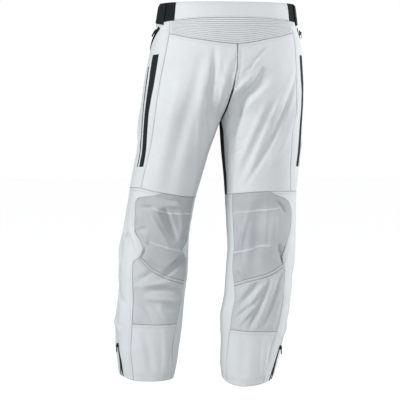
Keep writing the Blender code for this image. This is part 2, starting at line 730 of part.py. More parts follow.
# ================================================================ zips
def build_ankle_tapes():
    """Zip tapes along both edges of the open ankle vents."""
    for side in SIDES:
        for name, sign in (("ankle_tape_back", -1.0), ("ankle_tape_front", 1.0)):
            outer = outseam_edge(side, sign, -SEAM_GAP)

            def inner(height, side=side, sign=sign):
                half = vent_half_gap(side, height)
                width = np.minimum(TAPE_WIDTH, 0.75 * (half - SEAM_GAP))
                return seam_turn(side, "outseam", height) + sign * (half - SEAM_GAP - width) / GIRTH

            edges = (outer, inner) if sign < 0.0 else (inner, outer)
            turns, heights = panel_grid(side, ("vent",), *edges, 1)
            cloth_object(f"{name}_{side}", ZIP_TAPE, turns, heights, side, TAPE_WALL)


def pocket_point(share, offset=0.0):
    """Turn and height along the pocket zip, `offset` metres to its front."""
    turn = POCKET_TOP.turn + (POCKET_FOOT.turn - POCKET_TOP.turn) * share
    height = POCKET_TOP.height + (POCKET_FOOT.height - POCKET_TOP.height) * share
    run_x = (POCKET_FOOT.turn - POCKET_TOP.turn) * GIRTH
    run_y = POCKET_FOOT.height - POCKET_TOP.height
    length = math.hypot(run_x, run_y)
    return turn - offset * run_y / length / GIRTH, height + offset * run_x / length


def build_pocket_tapes():
    """Closed zips of the two hand pockets, lying on the side panels."""
    shares, offsets = np.meshgrid(
        np.linspace(0.0, 1.0, POCKET_ROWS + 1),
        np.linspace(-POCKET_TAPE_HALF, POCKET_TAPE_HALF, 3),
        indexing="ij",
    )
    turns, heights = pocket_point(shares, offsets)
    for side in SIDES:
        name = f"pocket_tape_{side}"
        cloth_object(name, ZIP_TAPE, turns, heights, side, TAPE_WALL, LYING_GAP + TAPE_WALL)


def zip_frame(side, turn, height, lift, ahead):
    """World frame on the cloth: X across the zip, Y back up it, Z out from the cloth."""
    here = Vector(place(side, turn, height, lift).tolist())
    there = Vector(place(side, *ahead, lift).tolist())
    out = Vector(outward(side, np.array(turn), np.array(height)).tolist())
    up = (here - there).normalized()
    out = (out - up * out.dot(up)).normalized()
    across = up.cross(out)
    frame = Matrix((across, up, out)).transposed().to_4x4()
    frame.translation = here
    return frame


def mesh_object(name, sheet, finish, frame):
    """A finished piece from a bmesh, in a world frame."""
    bmesh.ops.recalc_face_normals(sheet, faces=sheet.faces)
    mesh = bpy.data.meshes.new(name)
    sheet.to_mesh(mesh)
    sheet.free()
    piece = bpy.data.objects.new(name, mesh)
    bpy.context.scene.collection.objects.link(piece)
    piece.matrix_world = frame
    finish_object(piece, finish)
    return piece


def build_slider(name, frame):
    """A zip slider: a bevelled body, with the arch that holds its pull tab."""
    body = bmesh.new()
    scale = Matrix.Diagonal((SLIDER_WIDTH, SLIDER_LENGTH, SLIDER_THICKNESS, 1.0))
    rise = Matrix.Translation((0.0, 0.0, 0.5 * SLIDER_THICKNESS))
    bmesh.ops.create_cube(body, size=1.0, matrix=rise @ scale)
    bmesh.ops.bevel(body, geom=body.edges[:], offset=SLIDER_BEVEL, segments=1, profile=0.5,
                    affect="EDGES", material=-1)
    slider = mesh_object(name, body, BLACK_METAL, frame)

    ring = bmesh.new()
    start = Matrix.Translation((0.0, ARCH_RADIUS, 0.0))
    bmesh.ops.create_circle(ring, cap_ends=True, segments=8, radius=ARCH_BAR, matrix=start)
    bmesh.ops.spin(ring, geom=ring.verts[:] + ring.edges[:] + ring.faces[:], cent=(0.0, 0.0, 0.0),
                   axis=(1.0, 0.0, 0.0), angle=math.radians(180.0), steps=8)
    bmesh.ops.translate(ring, verts=ring.verts[:], vec=(0.0, 0.0, SLIDER_THICKNESS - ARCH_SINK))
    arch = mesh_object(f"{name}_arch", ring, BLACK_METAL, frame)
    arch.hide_render = True
    arch.display_type = "WIRE"
    union = slider.modifiers.new("arch", "BOOLEAN")
    union.operation = "UNION"
    union.object = arch
    return slider


def build_pull(name, frame, lean):
    """A pull tab that hangs from the arch by its crossbar, its origin on that bar."""
    sheet = bmesh.new()
    across = (-PULL_HALF_WIDTH, -PULL_SLOT_HALF, PULL_SLOT_HALF, PULL_HALF_WIDTH)
    along = (PULL_BAR_HALF, -PULL_BAR_HALF, -PULL_SLOT_LENGTH, -PULL_LENGTH)
    bmesh.ops.create_grid(sheet, x_segments=3, y_segments=3, size=1.0)
    sheet.verts.ensure_lookup_table()
    for vertex in sheet.verts:
        column = round((vertex.co.x + 1.0) * 1.5)
        row = round((1.0 - vertex.co.y) * 1.5)
        vertex.co = (across[column], along[row], -PULL_BAR_HALF)
    slot = [face for face in sheet.faces if is_slot(face)]
    bmesh.ops.delete(sheet, geom=slot, context="FACES_ONLY")
    plate = bmesh.ops.extrude_face_region(sheet, geom=sheet.faces[:])
    raised = [item for item in plate["geom"] if isinstance(item, bmesh.types.BMVert)]
    bmesh.ops.translate(sheet, verts=raised, vec=(0.0, 0.0, 2.0 * PULL_BAR_HALF))
    hinge = Matrix.Translation((0.0, 0.0, SLIDER_THICKNESS + HINGE_RISE))
    return mesh_object(name, sheet, BLACK_METAL, frame @ hinge @ Matrix.Rotation(lean, 4, "X"))


def is_slot(face):
    """True for the face of the pull's grid that its arch passes through."""
    centre = face.calc_center_median()
    inside_slot = -PULL_SLOT_LENGTH < centre.y < -PULL_BAR_HALF
    return inside_slot and abs(centre.x) < PULL_SLOT_HALF


def hanging_lean(frame):
    """Angle about the zip's across direction that lets a pull hang straight down."""
    down = frame.to_3x3().inverted() @ Vector((0.0, 0.0, -1.0))
    return max(math.atan2(down.z, -down.y), 0.0)


def build_sliders():
    """Sliders and pull tabs of the ankle vents and the hand pockets."""
    for side in SIDES:
        top = float(seam_height(side, "vent_top", np.array(0.45)))
        turn = float(seam_turn(side, "outseam", np.array(top)))
        frame = zip_frame(side, turn, top, LYING_GAP, (turn, top - 0.02))
        build_slider(f"ankle_slider_{side}", frame)
        build_pull(f"ankle_pull_{side}", frame, -hanging_lean(frame))
        turn, height = pocket_point(POCKET_SLIDER_SHARE)
        ahead = pocket_point(POCKET_SLIDER_SHARE + POCKET_SLIDER_AHEAD)
        lift = 2.0 * LYING_GAP + TAPE_WALL + POCKET_SLIDER_RISE
        frame = zip_frame(side, turn, height, lift, ahead)
        build_slider(f"pocket_slider_{side}", frame)
        build_pull(f"pocket_pull_{side}", frame, 0.0)


def build_snap():
    """The snap of the waist tab, a low round cap."""
    frame = zip_frame("left", FRONT_TURN, 0.0, 2.0 * LYING_GAP + CLOTH_WALL, (FRONT_TURN, -0.02))
    sheet = bmesh.new()
    bmesh.ops.create_cone(sheet, cap_ends=True, segments=24, radius1=SNAP_RADIUS,
                          radius2=0.82 * SNAP_RADIUS, depth=SNAP_HEIGHT,
                          matrix=Matrix.Translation((0.0, 0.0, 0.5 * SNAP_HEIGHT)))
    mesh_object("waist_snap", sheet, BLACK_METAL, frame)


def main():
    """Clear the scene and build the whole garment."""
    for item in list(bpy.data.objects):
        bpy.data.objects.remove(item, do_unlink=True)
    build_panels()
    build_gussets()
    build_yoke()
    build_waistband()
    build_lying_pieces()
    build_ankle_tapes()
    build_pocket_tapes()
    build_sliders()
    build_snap()


main()
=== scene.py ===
"""Motorcycle overpants, hollow and filled out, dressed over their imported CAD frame.

Units are metres, +Z up; the garment's front faces -Y and its left leg lies towards +X.
Every panel is cut from one cloth surface. A place on it is a side, a turn and a height.
The turn runs once round a leg from the inseam: 0.25 is the back, 0.5 the outside and
0.75 the front. Over the hips a side only has turns 0.25 to 0.75.
"""
import logging
import math
from dataclasses import dataclass, field
from enum import Enum
from typing import Callable, NamedTuple

import bmesh
import bpy
import numpy as np
from mathutils import Matrix, Vector, noise


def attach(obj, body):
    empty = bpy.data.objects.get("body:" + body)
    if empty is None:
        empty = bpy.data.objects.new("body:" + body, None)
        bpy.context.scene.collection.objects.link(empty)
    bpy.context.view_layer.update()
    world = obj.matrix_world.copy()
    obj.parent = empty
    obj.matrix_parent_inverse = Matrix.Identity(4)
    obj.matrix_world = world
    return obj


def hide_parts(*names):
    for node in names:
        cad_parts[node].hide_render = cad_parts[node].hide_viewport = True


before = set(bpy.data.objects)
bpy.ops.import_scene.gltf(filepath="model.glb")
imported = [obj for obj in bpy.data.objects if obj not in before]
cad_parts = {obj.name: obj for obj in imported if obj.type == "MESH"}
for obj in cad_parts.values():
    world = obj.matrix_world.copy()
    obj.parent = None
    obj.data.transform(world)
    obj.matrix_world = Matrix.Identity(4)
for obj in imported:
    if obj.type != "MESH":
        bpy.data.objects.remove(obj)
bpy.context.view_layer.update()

LOG = logging.getLogger("overpants")
Edge = Callable[[np.ndarray], np.ndarray]
BODY = "garment"

# ------------------------------------------------------------------ sizes, metres
CLOTH_WALL = 0.0018
MESH_WALL = 0.0016
WEBBING_WALL = 0.0024
TAPE_WALL = 0.0012
TAPE_WIDTH = 0.0055
SEAM_GAP = 0.0003
LYING_GAP = 0.0005
WAIST_TOP = 0.022
CROTCH_HEIGHT = -0.293
HIP_SPLIT_HEIGHT = -0.095  # where the two legs' rings start to part
STRIP_HALF_HEIGHT = 0.0040
VENT_GAP_TOP = 0.002
VENT_GAP_HEM = 0.022
GIRTH = 0.58  # cloth round one leg, which turns are measured against in the maps
LOWEST = -1.10
HIGHEST = 0.10
CELL = 0.0036  # usual distance between a panel's points
EDGE_ROWS = (0.0, 0.0012, 0.0030)  # closer rows, beside each edge

# ------------------------------------------------------------------ turns and shape numbers
BACK_TURN = 0.25
OUTSIDE_TURN = 0.5
FRONT_TURN = 0.75
VENT_TURN = 0.45
HIP_SPLIT_POWER = 1.9
SQUARENESS = 2.25  # 2 is an ellipse, more is squarer


class Side(Enum):
    """Which leg a place lies on; BOTH runs across the middle."""

    LEFT = "left"
    RIGHT = "right"
    BOTH = "both"


class Ring(NamedTuple):
    """One level ring of a leg: x of the outside and inside, y of the back and front."""

    height: float
    outer: float
    inner: float
    back: float
    front: float


class Cross(NamedTuple):
    """Height of a seam that runs across, at one turn, on each leg."""

    turn: float
    left: float
    right: float


class Down(NamedTuple):
    """Turn of a seam that runs down, at one height, on each leg."""

    height: float
    left: float
    right: float


class Gusset(NamedTuple):
    """Width of the inner thigh panels at one height, in turns from the middle seam."""

    height: float
    back: float
    front: float


class Fold(NamedTuple):
    """A soft ridge (depth above zero) or trough along a path through two to four places."""

    half_width: float
    depth: float
    spots: tuple[tuple[float, float], ...]
    lean: float = 0.0


RINGS = {
    Side.LEFT: (
        Ring(0.052, 0.180, -0.003, 0.108, -0.116),
        Ring(0.012, 0.186, -0.004, 0.114, -0.122),
        Ring(-0.046, 0.196, -0.006, 0.124, -0.126),
        Ring(-0.088, 0.207, -0.008, 0.133, -0.127),
        Ring(-0.138, 0.219, -0.007, 0.140, -0.126),
        Ring(-0.188, 0.228, 0.000, 0.141, -0.123),
        Ring(-0.238, 0.235, 0.010, 0.134, -0.120),
        Ring(-0.293, 0.240, 0.020, 0.122, -0.119),
        Ring(-0.376, 0.247, 0.050, 0.106, -0.118),
        Ring(-0.442, 0.260, 0.069, 0.096, -0.114),
        Ring(-0.508, 0.271, 0.088, 0.086, -0.108),
        Ring(-0.574, 0.282, 0.099, 0.080, -0.104),
        Ring(-0.640, 0.292, 0.107, 0.082, -0.096),
        Ring(-0.706, 0.298, 0.110, 0.086, -0.092),
        Ring(-0.772, 0.300, 0.118, 0.086, -0.090),
        Ring(-0.838, 0.307, 0.124, 0.083, -0.090),
        Ring(-0.904, 0.307, 0.132, 0.080, -0.092),
        Ring(-0.953, 0.302, 0.138, 0.076, -0.094),
        Ring(-1.020, 0.293, 0.152, 0.070, -0.096),
    ),
    Side.RIGHT: (
        Ring(0.052, -0.176, -0.003, 0.108, -0.116),
        Ring(0.012, -0.186, -0.004, 0.114, -0.122),
        Ring(-0.046, -0.193, -0.006, 0.124, -0.126),
        Ring(-0.088, -0.203, -0.008, 0.133, -0.127),
        Ring(-0.138, -0.206, -0.007, 0.140, -0.126),
        Ring(-0.188, -0.208, 0.000, 0.141, -0.123),
        Ring(-0.238, -0.208, 0.010, 0.134, -0.120),
        Ring(-0.293, -0.206, 0.020, 0.122, -0.119),
        Ring(-0.376, -0.203, 0.014, 0.108, -0.116),
        Ring(-0.442, -0.197, 0.008, 0.100, -0.110),
        Ring(-0.508, -0.192, 0.003, 0.091, -0.104),
        Ring(-0.574, -0.192, 0.000, 0.086, -0.099),
        Ring(-0.640, -0.189, -0.003, 0.088, -0.090),
        Ring(-0.706, -0.181, 0.003, 0.093, -0.085),
        Ring(-0.772, -0.178, 0.008, 0.095, -0.080),
        Ring(-0.838, -0.167, 0.019, 0.093, -0.078),
        Ring(-0.904, -0.153, 0.017, 0.090, -0.080),
        Ring(-0.953, -0.142, 0.018, 0.086, -0.082),
        Ring(-1.030, -0.118, 0.008, 0.080, -0.084),
    ),
}

CROSS_SEAMS = {
    "waist_top": (Cross(0.0, WAIST_TOP, WAIST_TOP), Cross(1.0, WAIST_TOP, WAIST_TOP)),
    "waist_seam": (
        Cross(0.250, -0.0210, -0.0210),
        Cross(0.300, -0.0220, -0.0218),
        Cross(0.350, -0.0248, -0.0240),
        Cross(0.400, -0.0280, -0.0265),
        Cross(0.500, -0.0315, -0.0290),
        Cross(0.625, -0.0260, -0.0260),
        Cross(0.750, -0.0220, -0.0220),
    ),
    "yoke_seam": (
        Cross(0.250, -0.0915, -0.0915),
        Cross(0.270, -0.0890, -0.0880),
        Cross(0.290, -0.0855, -0.0830),
        Cross(0.315, -0.0805, -0.0765),
        Cross(0.350, -0.0740, -0.0695),
        Cross(0.405, -0.0640, -0.0600),
        Cross(0.750, -0.0700, -0.0700),
    ),
    "crotch": (Cross(0.0, CROTCH_HEIGHT, CROTCH_HEIGHT), Cross(1.0, CROTCH_HEIGHT, CROTCH_HEIGHT)),
    "knee_seam": (
        Cross(0.00, -0.503, -0.497),
        Cross(0.10, -0.502, -0.494),
        Cross(0.18, -0.499, -0.490),
        Cross(0.26, -0.491, -0.487),
        Cross(0.33, -0.483, -0.487),
        Cross(0.40, -0.477, -0.488),
        Cross(0.55, -0.478, -0.489),
        Cross(0.75, -0.488, -0.491),
        Cross(0.90, -0.5000, -0.4958),
        Cross(0.96, -0.5028, -0.4969),
        Cross(1.00, -0.503, -0.497),
    ),
    "strip": (
        Cross(0.00, -0.742, -0.748),
        Cross(0.09, -0.734, -0.741),
        Cross(0.19, -0.721, -0.726),
        Cross(0.25, -0.704, -0.716),
        Cross(0.32, -0.668, -0.694),
        Cross(0.36, -0.650, -0.678),
        Cross(0.45, -0.640, -0.655),
        Cross(0.75, -0.660, -0.670),
        Cross(1.00, -0.742, -0.748),
    ),
    "calf_seam": (
        Cross(0.00, -0.840, -0.857),
        Cross(0.20, -0.846, -0.866),
        Cross(0.34, -0.843, -0.869),
        Cross(0.75, -0.840, -0.860),
        Cross(1.00, -0.840, -0.857),
    ),
    "vent_top": (Cross(0.0, -0.905, -0.915), Cross(1.0, -0.905, -0.915)),
    "hem": (
        Cross(0.00, -0.996, -1.004),
        Cross(0.20, -1.000, -1.018),
        Cross(0.33, -0.998, -1.010),
        Cross(0.45, -0.988, -1.000),
        Cross(0.75, -0.985, -0.998),
        Cross(1.00, -0.996, -1.004),
    ),
}

GUSSET_WIDTHS = (
    Gusset(-0.175, 0.0000, 0.0000),
    Gusset(-0.189, 0.0004, 0.0006),
    Gusset(-0.225, 0.0022, 0.0120),
    Gusset(-0.270, 0.0065, 0.0400),
    Gusset(-0.300, 0.0190, 0.0700),
    Gusset(-0.330, 0.0340, 0.0800),
    Gusset(-0.440, 0.0310, 0.0900),
    Gusset(-0.505, 0.0220, 0.0950),
)

DOWN_SEAMS = {
    "waist_side_back": (Down(0.05, 0.396, 0.400), Down(-0.10, 0.396, 0.400)),
    "waist_side_front": (Down(0.05, 0.550, 0.550), Down(-0.10, 0.550, 0.550)),
    "side_back": (
        Down(-0.020, 0.412, 0.412),
        Down(-0.064, 0.406, 0.406),
        Down(-0.141, 0.403, 0.400),
        Down(-0.188, 0.398, 0.392),
        Down(-0.230, 0.388, 0.380),
        Down(-0.291, 0.374, 0.360),
        Down(-0.342, 0.374, 0.350),
        Down(-0.401, 0.379, 0.350),
        Down(-0.500, 0.382, 0.369),
    ),
    "side_front": (Down(-0.02, 0.595, 0.595), Down(-0.29, 0.630, 0.630), Down(-0.50, 0.640, 0.640)),
    "mesh_inner": (
        Down(-0.495, 0.076, 0.078),
        Down(-0.600, 0.076, 0.076),
        Down(-0.680, 0.074, 0.072),
        Down(-0.738, 0.088, 0.098),
        Down(-0.790, 0.094, 0.114),
        Down(-0.842, 0.118, 0.114),
        Down(-0.900, 0.126, 0.088),
        Down(-1.020, 0.098, 0.066),
    ),
    "mesh_outer": (
        Down(-0.490, 0.262, 0.262),
        Down(-0.496, 0.288, 0.280),
        Down(-0.504, 0.385, 0.318),
        Down(-0.515, 0.405, 0.352),
        Down(-0.550, 0.390, 0.378),
        Down(-0.590, 0.374, 0.371),
        Down(-0.620, 0.330, 0.350),
        Down(-0.645, 0.314, 0.334),
        Down(-0.662, 0.326, 0.327),
        Down(-0.674, 0.358, 0.331),
        Down(-0.690, 0.362, 0.340),
        Down(-0.705, 0.361, 0.347),
        Down(-0.760, 0.352, 0.348),
        Down(-0.843, 0.342, 0.349),
        Down(-0.910, 0.346, 0.326),
        Down(-1.020, 0.336, 0.314),
    ),
    "outseam": (
        Down(-0.480, 0.452, 0.440),
        Down(-0.700, 0.452, 0.432),
        Down(-0.860, 0.450, 0.420),
        Down(-0.915, 0.446, 0.406),
        Down(-0.960, 0.438, 0.392),
        Down(-1.020, 0.438, 0.390),
    ),
    "shin_front": (Down(-0.48, 0.625, 0.625), Down(-1.02, 0.610, 0.600)),
    "inner_front": (Down(-0.48, -0.098, -0.098), Down(-1.02, -0.110, -0.110)),
}

# Soft folds of each leg: those of the back from the photo, then like ones elsewhere.
FOLDS = {
    Side.LEFT: (
        Fold(0.0247, -0.0065, ((0.308, -0.137), (0.274, -0.230), (0.252, -0.317), (0.252, -0.456))),
        Fold(0.0137, 0.0040, ((0.296, -0.151), (0.244, -0.241), (0.178, -0.348), (0.124, -0.461))),
        Fold(0.0126, -0.0120, ((0.286, -0.119), (0.260, -0.189), (0.200, -0.254), (0.114, -0.324))),
        Fold(0.0072, 0.0060, ((0.256, -0.125), (0.244, -0.183), (0.178, -0.247), (0.098, -0.305))),
        Fold(0.0066, -0.0040, ((0.248, -0.131), (0.236, -0.178), (0.202, -0.220))),
        Fold(0.0083, -0.0040, ((0.266, -0.140), (0.240, -0.205), (0.152, -0.273))),
        Fold(0.0192, 0.0030, ((0.344, -0.163), (0.310, -0.255), (0.308, -0.349), (0.300, -0.466))),
        Fold(0.0083, -0.0070, ((0.354, -0.527), (0.326, -0.530), (0.302, -0.527))),
        Fold(0.0179, -0.0196, ((0.248, -0.536), (0.212, -0.571), (0.176, -0.610)), -0.45),
        Fold(0.0083, 0.0091, ((0.296, -0.550), (0.252, -0.591), (0.208, -0.631))),
        Fold(0.0110, 0.0056, ((0.198, -0.519), (0.156, -0.569), (0.154, -0.617))),
        Fold(0.0151, -0.0154, ((0.028, -0.573), (0.026, -0.612), (0.102, -0.650))),
        Fold(0.0088, -0.0070, ((0.364, -0.595), (0.336, -0.589), (0.312, -0.586))),
        Fold(0.0066, 0.0070, ((0.302, -0.595), (0.306, -0.619), (0.316, -0.646))),
        Fold(0.0137, -0.0182, ((0.068, -0.653), (0.158, -0.682), (0.218, -0.710))),
        Fold(0.0083, -0.0042, ((0.280, -0.673), (0.252, -0.689), (0.226, -0.697))),
        Fold(0.0124, 0.0070, ((0.406, -0.592), (0.364, -0.615), (0.340, -0.642), (0.320, -0.663))),
        Fold(0.0049, -0.0056, ((0.364, -0.592), (0.330, -0.610), (0.308, -0.634), (0.314, -0.661))),
        Fold(0.0069, -0.0049, ((0.274, -0.502), (0.226, -0.510), (0.162, -0.514))),
        Fold(0.0069, 0.0042, ((0.250, -0.524), (0.212, -0.524), (0.162, -0.527))),
        Fold(0.0099, -0.0070, ((0.348, -0.729), (0.298, -0.715), (0.262, -0.701))),
        Fold(0.0088, 0.0050, ((0.350, -0.743), (0.264, -0.736), (0.190, -0.729))),
        Fold(0.0124, -0.0100, ((0.280, -0.754), (0.234, -0.749), (0.176, -0.752), (0.098, -0.761))),
        Fold(0.0088, 0.0050, ((0.286, -0.774), (0.222, -0.777), (0.128, -0.783))),
        Fold(0.0110, -0.0060, ((0.210, -0.794), (0.158, -0.801), (0.092, -0.801))),
        Fold(0.0110, 0.0040, ((0.232, -0.792), (0.210, -0.814), (0.174, -0.839))),
        Fold(0.0137, -0.0035, ((0.318, -0.775), (0.276, -0.801), (0.248, -0.829))),
        Fold(0.0137, 0.0040, ((0.196, -0.859), (0.178, -0.925), (0.170, -0.986))),
        Fold(0.0083, -0.0050, ((0.136, -0.862), (0.134, -0.922), (0.126, -0.983))),
        Fold(0.0165, -0.0030, ((0.278, -0.871), (0.256, -0.923), (0.244, -0.972))),
        # sides and front
        Fold(0.0320, -0.0099, ((0.780, -0.440), (0.740, -0.500), (0.700, -0.560))),
        Fold(0.0260, -0.0081, ((0.820, -0.270), (0.760, -0.230), (0.700, -0.190))),
        Fold(0.0260, -0.0090, ((0.700, -0.860), (0.765, -0.880), (0.830, -0.900))),
        Fold(0.0140, -0.0060, ((0.480, -0.560), (0.457, -0.593), (0.420, -0.620))),
        Fold(0.0160, 0.0043, ((0.560, -0.600), (0.513, -0.648), (0.450, -0.690))),
        Fold(0.0160, -0.0047, ((0.520, -0.740), (0.466, -0.770), (0.400, -0.790))),
        Fold(0.0160, 0.0040, ((0.560, -0.840), (0.486, -0.849), (0.420, -0.870))),
        Fold(0.0180, 0.0061, ((0.740, -0.520), (0.698, -0.547), (0.640, -0.560))),
        Fold(0.0200, -0.0061, ((0.840, -0.580), (0.789, -0.616), (0.720, -0.640))),
        Fold(0.0220, 0.0054, ((0.800, -0.700), (0.722, -0.724), (0.660, -0.760))),
        Fold(0.0200, -0.0054, ((0.860, -0.800), (0.782, -0.816), (0.700, -0.820))),
        Fold(0.0200, 0.0054, ((0.820, -0.920), (0.753, -0.938), (0.680, -0.945))),
        Fold(0.0180, 0.0054, ((0.760, -0.300), (0.702, -0.269), (0.660, -0.230))),
        Fold(0.0180, -0.0054, ((0.860, -0.340), (0.795, -0.325), (0.740, -0.300))),
        Fold(0.0220, 0.0050, ((0.800, -0.420), (0.735, -0.390), (0.660, -0.370))),
        Fold(0.0180, -0.0040, ((0.640, -0.120), (0.607, -0.163), (0.560, -0.200))),
        Fold(0.0200, 0.0040, ((0.560, -0.250), (0.524, -0.308), (0.470, -0.360))),
    ),
    Side.RIGHT: (
        Fold(0.0220, -0.0260, ((0.282, -0.169), (0.238, -0.212), (0.172, -0.244), (0.092, -0.313)), 0.50),
        Fold(0.0060, 0.0045, ((0.284, -0.152), (0.246, -0.189), (0.202, -0.216), (0.128, -0.251))),
        Fold(0.0060, -0.0045, ((0.280, -0.136), (0.256, -0.163), (0.230, -0.192))),
        Fold(0.0060, 0.0030, ((0.296, -0.122), (0.270, -0.152), (0.242, -0.181))),
        Fold(0.0060, -0.0030, ((0.310, -0.098), (0.290, -0.120), (0.268, -0.141))),
        Fold(0.0060, -0.0030, ((0.252, -0.119), (0.240, -0.162), (0.214, -0.206))),
        Fold(0.0115, 0.0055, ((0.262, -0.242), (0.210, -0.309), (0.164, -0.376), (0.100, -0.452))),
        Fold(0.0115, -0.0050, ((0.266, -0.261), (0.234, -0.317), (0.194, -0.381), (0.140, -0.449))),
        Fold(0.0115, 0.0050, ((0.370, -0.177), (0.284, -0.258), (0.234, -0.338), (0.188, -0.424))),
        Fold(0.0099, -0.0080, ((0.384, -0.187), (0.312, -0.268), (0.258, -0.354), (0.182, -0.451))),
        Fold(0.0165, 0.0035, ((0.416, -0.214), (0.354, -0.290), (0.308, -0.355), (0.256, -0.425))),
        Fold(0.0165, -0.0060, ((0.200, -0.242), (0.140, -0.274), (0.106, -0.322), (0.092, -0.403))),
        Fold(0.0055, -0.0016, ((0.088, -0.357), (0.134, -0.349), (0.174, -0.338))),
        Fold(0.0055, -0.0014, ((0.090, -0.385), (0.132, -0.376), (0.160, -0.368))),
        Fold(0.0137, -0.0025, ((0.258, -0.212), (0.286, -0.195), (0.322, -0.152))),
        Fold(0.0096, 0.0070, ((0.172, -0.543), (0.134, -0.614), (0.114, -0.680))),
        Fold(0.0247, -0.0080, ((0.220, -0.527), (0.208, -0.619), (0.200, -0.705))),
        Fold(0.0072, -0.0080, ((0.300, -0.635), (0.314, -0.657), (0.332, -0.681))),
        Fold(0.0066, -0.0050, ((0.294, -0.517), (0.314, -0.528), (0.330, -0.545))),
        Fold(0.0077, -0.0059, ((0.112, -0.703), (0.128, -0.718), (0.148, -0.737))),
        Fold(0.0055, 0.0034, ((0.140, -0.691), (0.154, -0.710), (0.172, -0.729))),
        Fold(0.0151, 0.0045, ((0.276, -0.543), (0.274, -0.592), (0.264, -0.646))),
        Fold(0.0096, 0.0040, ((0.380, -0.630), (0.360, -0.654), (0.346, -0.680))),
        Fold(0.0049, -0.0040, ((0.346, -0.628), (0.328, -0.652), (0.330, -0.679))),
        Fold(0.0151, -0.0127, ((0.228, -0.740), (0.190, -0.764), (0.148, -0.798))),
        Fold(0.0077, 0.0059, ((0.252, -0.736), (0.220, -0.768), (0.190, -0.806))),
        Fold(0.0093, -0.0076, ((0.208, -0.793), (0.180, -0.810), (0.150, -0.827))),
        Fold(0.0072, 0.0051, ((0.222, -0.798), (0.198, -0.820), (0.164, -0.847))),
        Fold(0.0088, -0.0068, ((0.268, -0.736), (0.246, -0.792), (0.214, -0.855))),
        Fold(0.0077, 0.0051, ((0.290, -0.728), (0.264, -0.787), (0.244, -0.854))),
        Fold(0.0093, -0.0068, ((0.328, -0.715), (0.300, -0.777), (0.272, -0.844))),
        Fold(0.0083, 0.0038, ((0.352, -0.707), (0.332, -0.772), (0.312, -0.842))),
        Fold(0.0137, 0.0040, ((0.286, -0.890), (0.298, -0.945), (0.312, -0.993))),
        Fold(0.0220, -0.0030, ((0.196, -0.879), (0.194, -0.936), (0.194, -0.992))),
        # sides and front
        Fold(0.0320, -0.0099, ((0.780, -0.440), (0.740, -0.500), (0.700, -0.560))),
        Fold(0.0260, -0.0081, ((0.820, -0.270), (0.760, -0.230), (0.700, -0.190))),
        Fold(0.0260, -0.0090, ((0.700, -0.880), (0.765, -0.900), (0.830, -0.920))),
        Fold(0.0140, -0.0043, ((0.480, -0.560), (0.447, -0.593), (0.400, -0.620))),
        Fold(0.0160, 0.0043, ((0.560, -0.610), (0.508, -0.659), (0.440, -0.700))),
        Fold(0.0160, -0.0047, ((0.520, -0.750), (0.461, -0.780), (0.390, -0.800))),
        Fold(0.0160, 0.0040, ((0.540, -0.850), (0.466, -0.862), (0.400, -0.885))),
        Fold(0.0180, 0.0061, ((0.740, -0.520), (0.699, -0.551), (0.640, -0.570))),
        Fold(0.0200, -0.0061, ((0.850, -0.590), (0.794, -0.626), (0.720, -0.650))),
        Fold(0.0220, 0.0054, ((0.790, -0.710), (0.712, -0.734), (0.650, -0.770))),
        Fold(0.0200, -0.0054, ((0.860, -0.815), (0.782, -0.831), (0.700, -0.835))),
        Fold(0.0200, 0.0054, ((0.820, -0.935), (0.752, -0.951), (0.680, -0.955))),
        Fold(0.0180, 0.0054, ((0.770, -0.305), (0.712, -0.276), (0.670, -0.240))),
        Fold(0.0180, -0.0054, ((0.860, -0.350), (0.795, -0.335), (0.740, -0.310))),
        Fold(0.0220, 0.0050, ((0.800, -0.430), (0.741, -0.400), (0.670, -0.380))),
        Fold(0.0180, -0.0040, ((0.640, -0.125), (0.607, -0.168), (0.560, -0.205))),
        Fold(0.0200, 0.0040, ((0.560, -0.255), (0.524, -0.313), (0.470, -0.365))),
    ),
}

# Narrow sewn ridges across the knee mesh, as places from the outside inwards.
KNEE_RIDGES = {
    Side.LEFT: (
        ((0.304, -0.530), (0.260, -0.540), (0.234, -0.544), (0.084, -0.549)),
        ((0.296, -0.618), (0.252, -0.630), (0.212, -0.638), (0.076, -0.654)),
    ),
    Side.RIGHT: (
        ((0.308, -0.531), (0.266, -0.534), (0.186, -0.539), (0.080, -0.546)),
        ((0.272, -0.631), (0.212, -0.637), (0.166, -0.645), (0.076, -0.655)),
    ),
}


# ================================================================== the cloth surface
def curve(rows: tuple, across: str, column: str, x: np.ndarray) -> np.ndarray:
    """Smooth value of one table column, without overshoot between its rows.

    Args:
        rows: The table.
        across: Name of the column that x runs along.
        column: Name of the column that is read.
        x: Where it is read.

    Returns:
        The column's value at each x.
    """
    rows = sorted(rows, key=lambda row: getattr(row, across))
    xs = np.array([getattr(row, across) for row in rows])
    ys = np.array([getattr(row, column) for row in rows])
    step = np.diff(xs)
    slope = np.diff(ys) / step
    tangent = np.zeros_like(ys)
    tangent[0] = slope[0]
    tangent[-1] = slope[-1]
    before, after = slope[:-1], slope[1:]
    keep = before * after > 0.0
    weight_a = 2.0 * step[1:] + step[:-1]
    weight_b = step[1:] + 2.0 * step[:-1]
    safe_a = np.where(keep, before, 1.0)
    safe_b = np.where(keep, after, 1.0)
    mean = (weight_a + weight_b) / (weight_a / safe_a + weight_b / safe_b)
    tangent[1:-1] = np.where(keep, mean, 0.0)
    x = np.clip(x, xs[0], xs[-1])
    i = np.clip(np.searchsorted(xs, x) - 1, 0, len(step) - 1)
    t = (x - xs[i]) / step[i]
    return (
        ys[i]
        + (ys[i + 1] - ys[i]) * t * t * (3.0 - 2.0 * t)
        + step[i] * tangent[i] * t * (1.0 - t) ** 2
        - step[i] * tangent[i + 1] * t * t * (1.0 - t)
    )


def bulge(value: np.ndarray, power: float) -> np.ndarray:
    """A signed power, which squares off a ring."""
    return np.sign(value) * np.abs(value) ** power


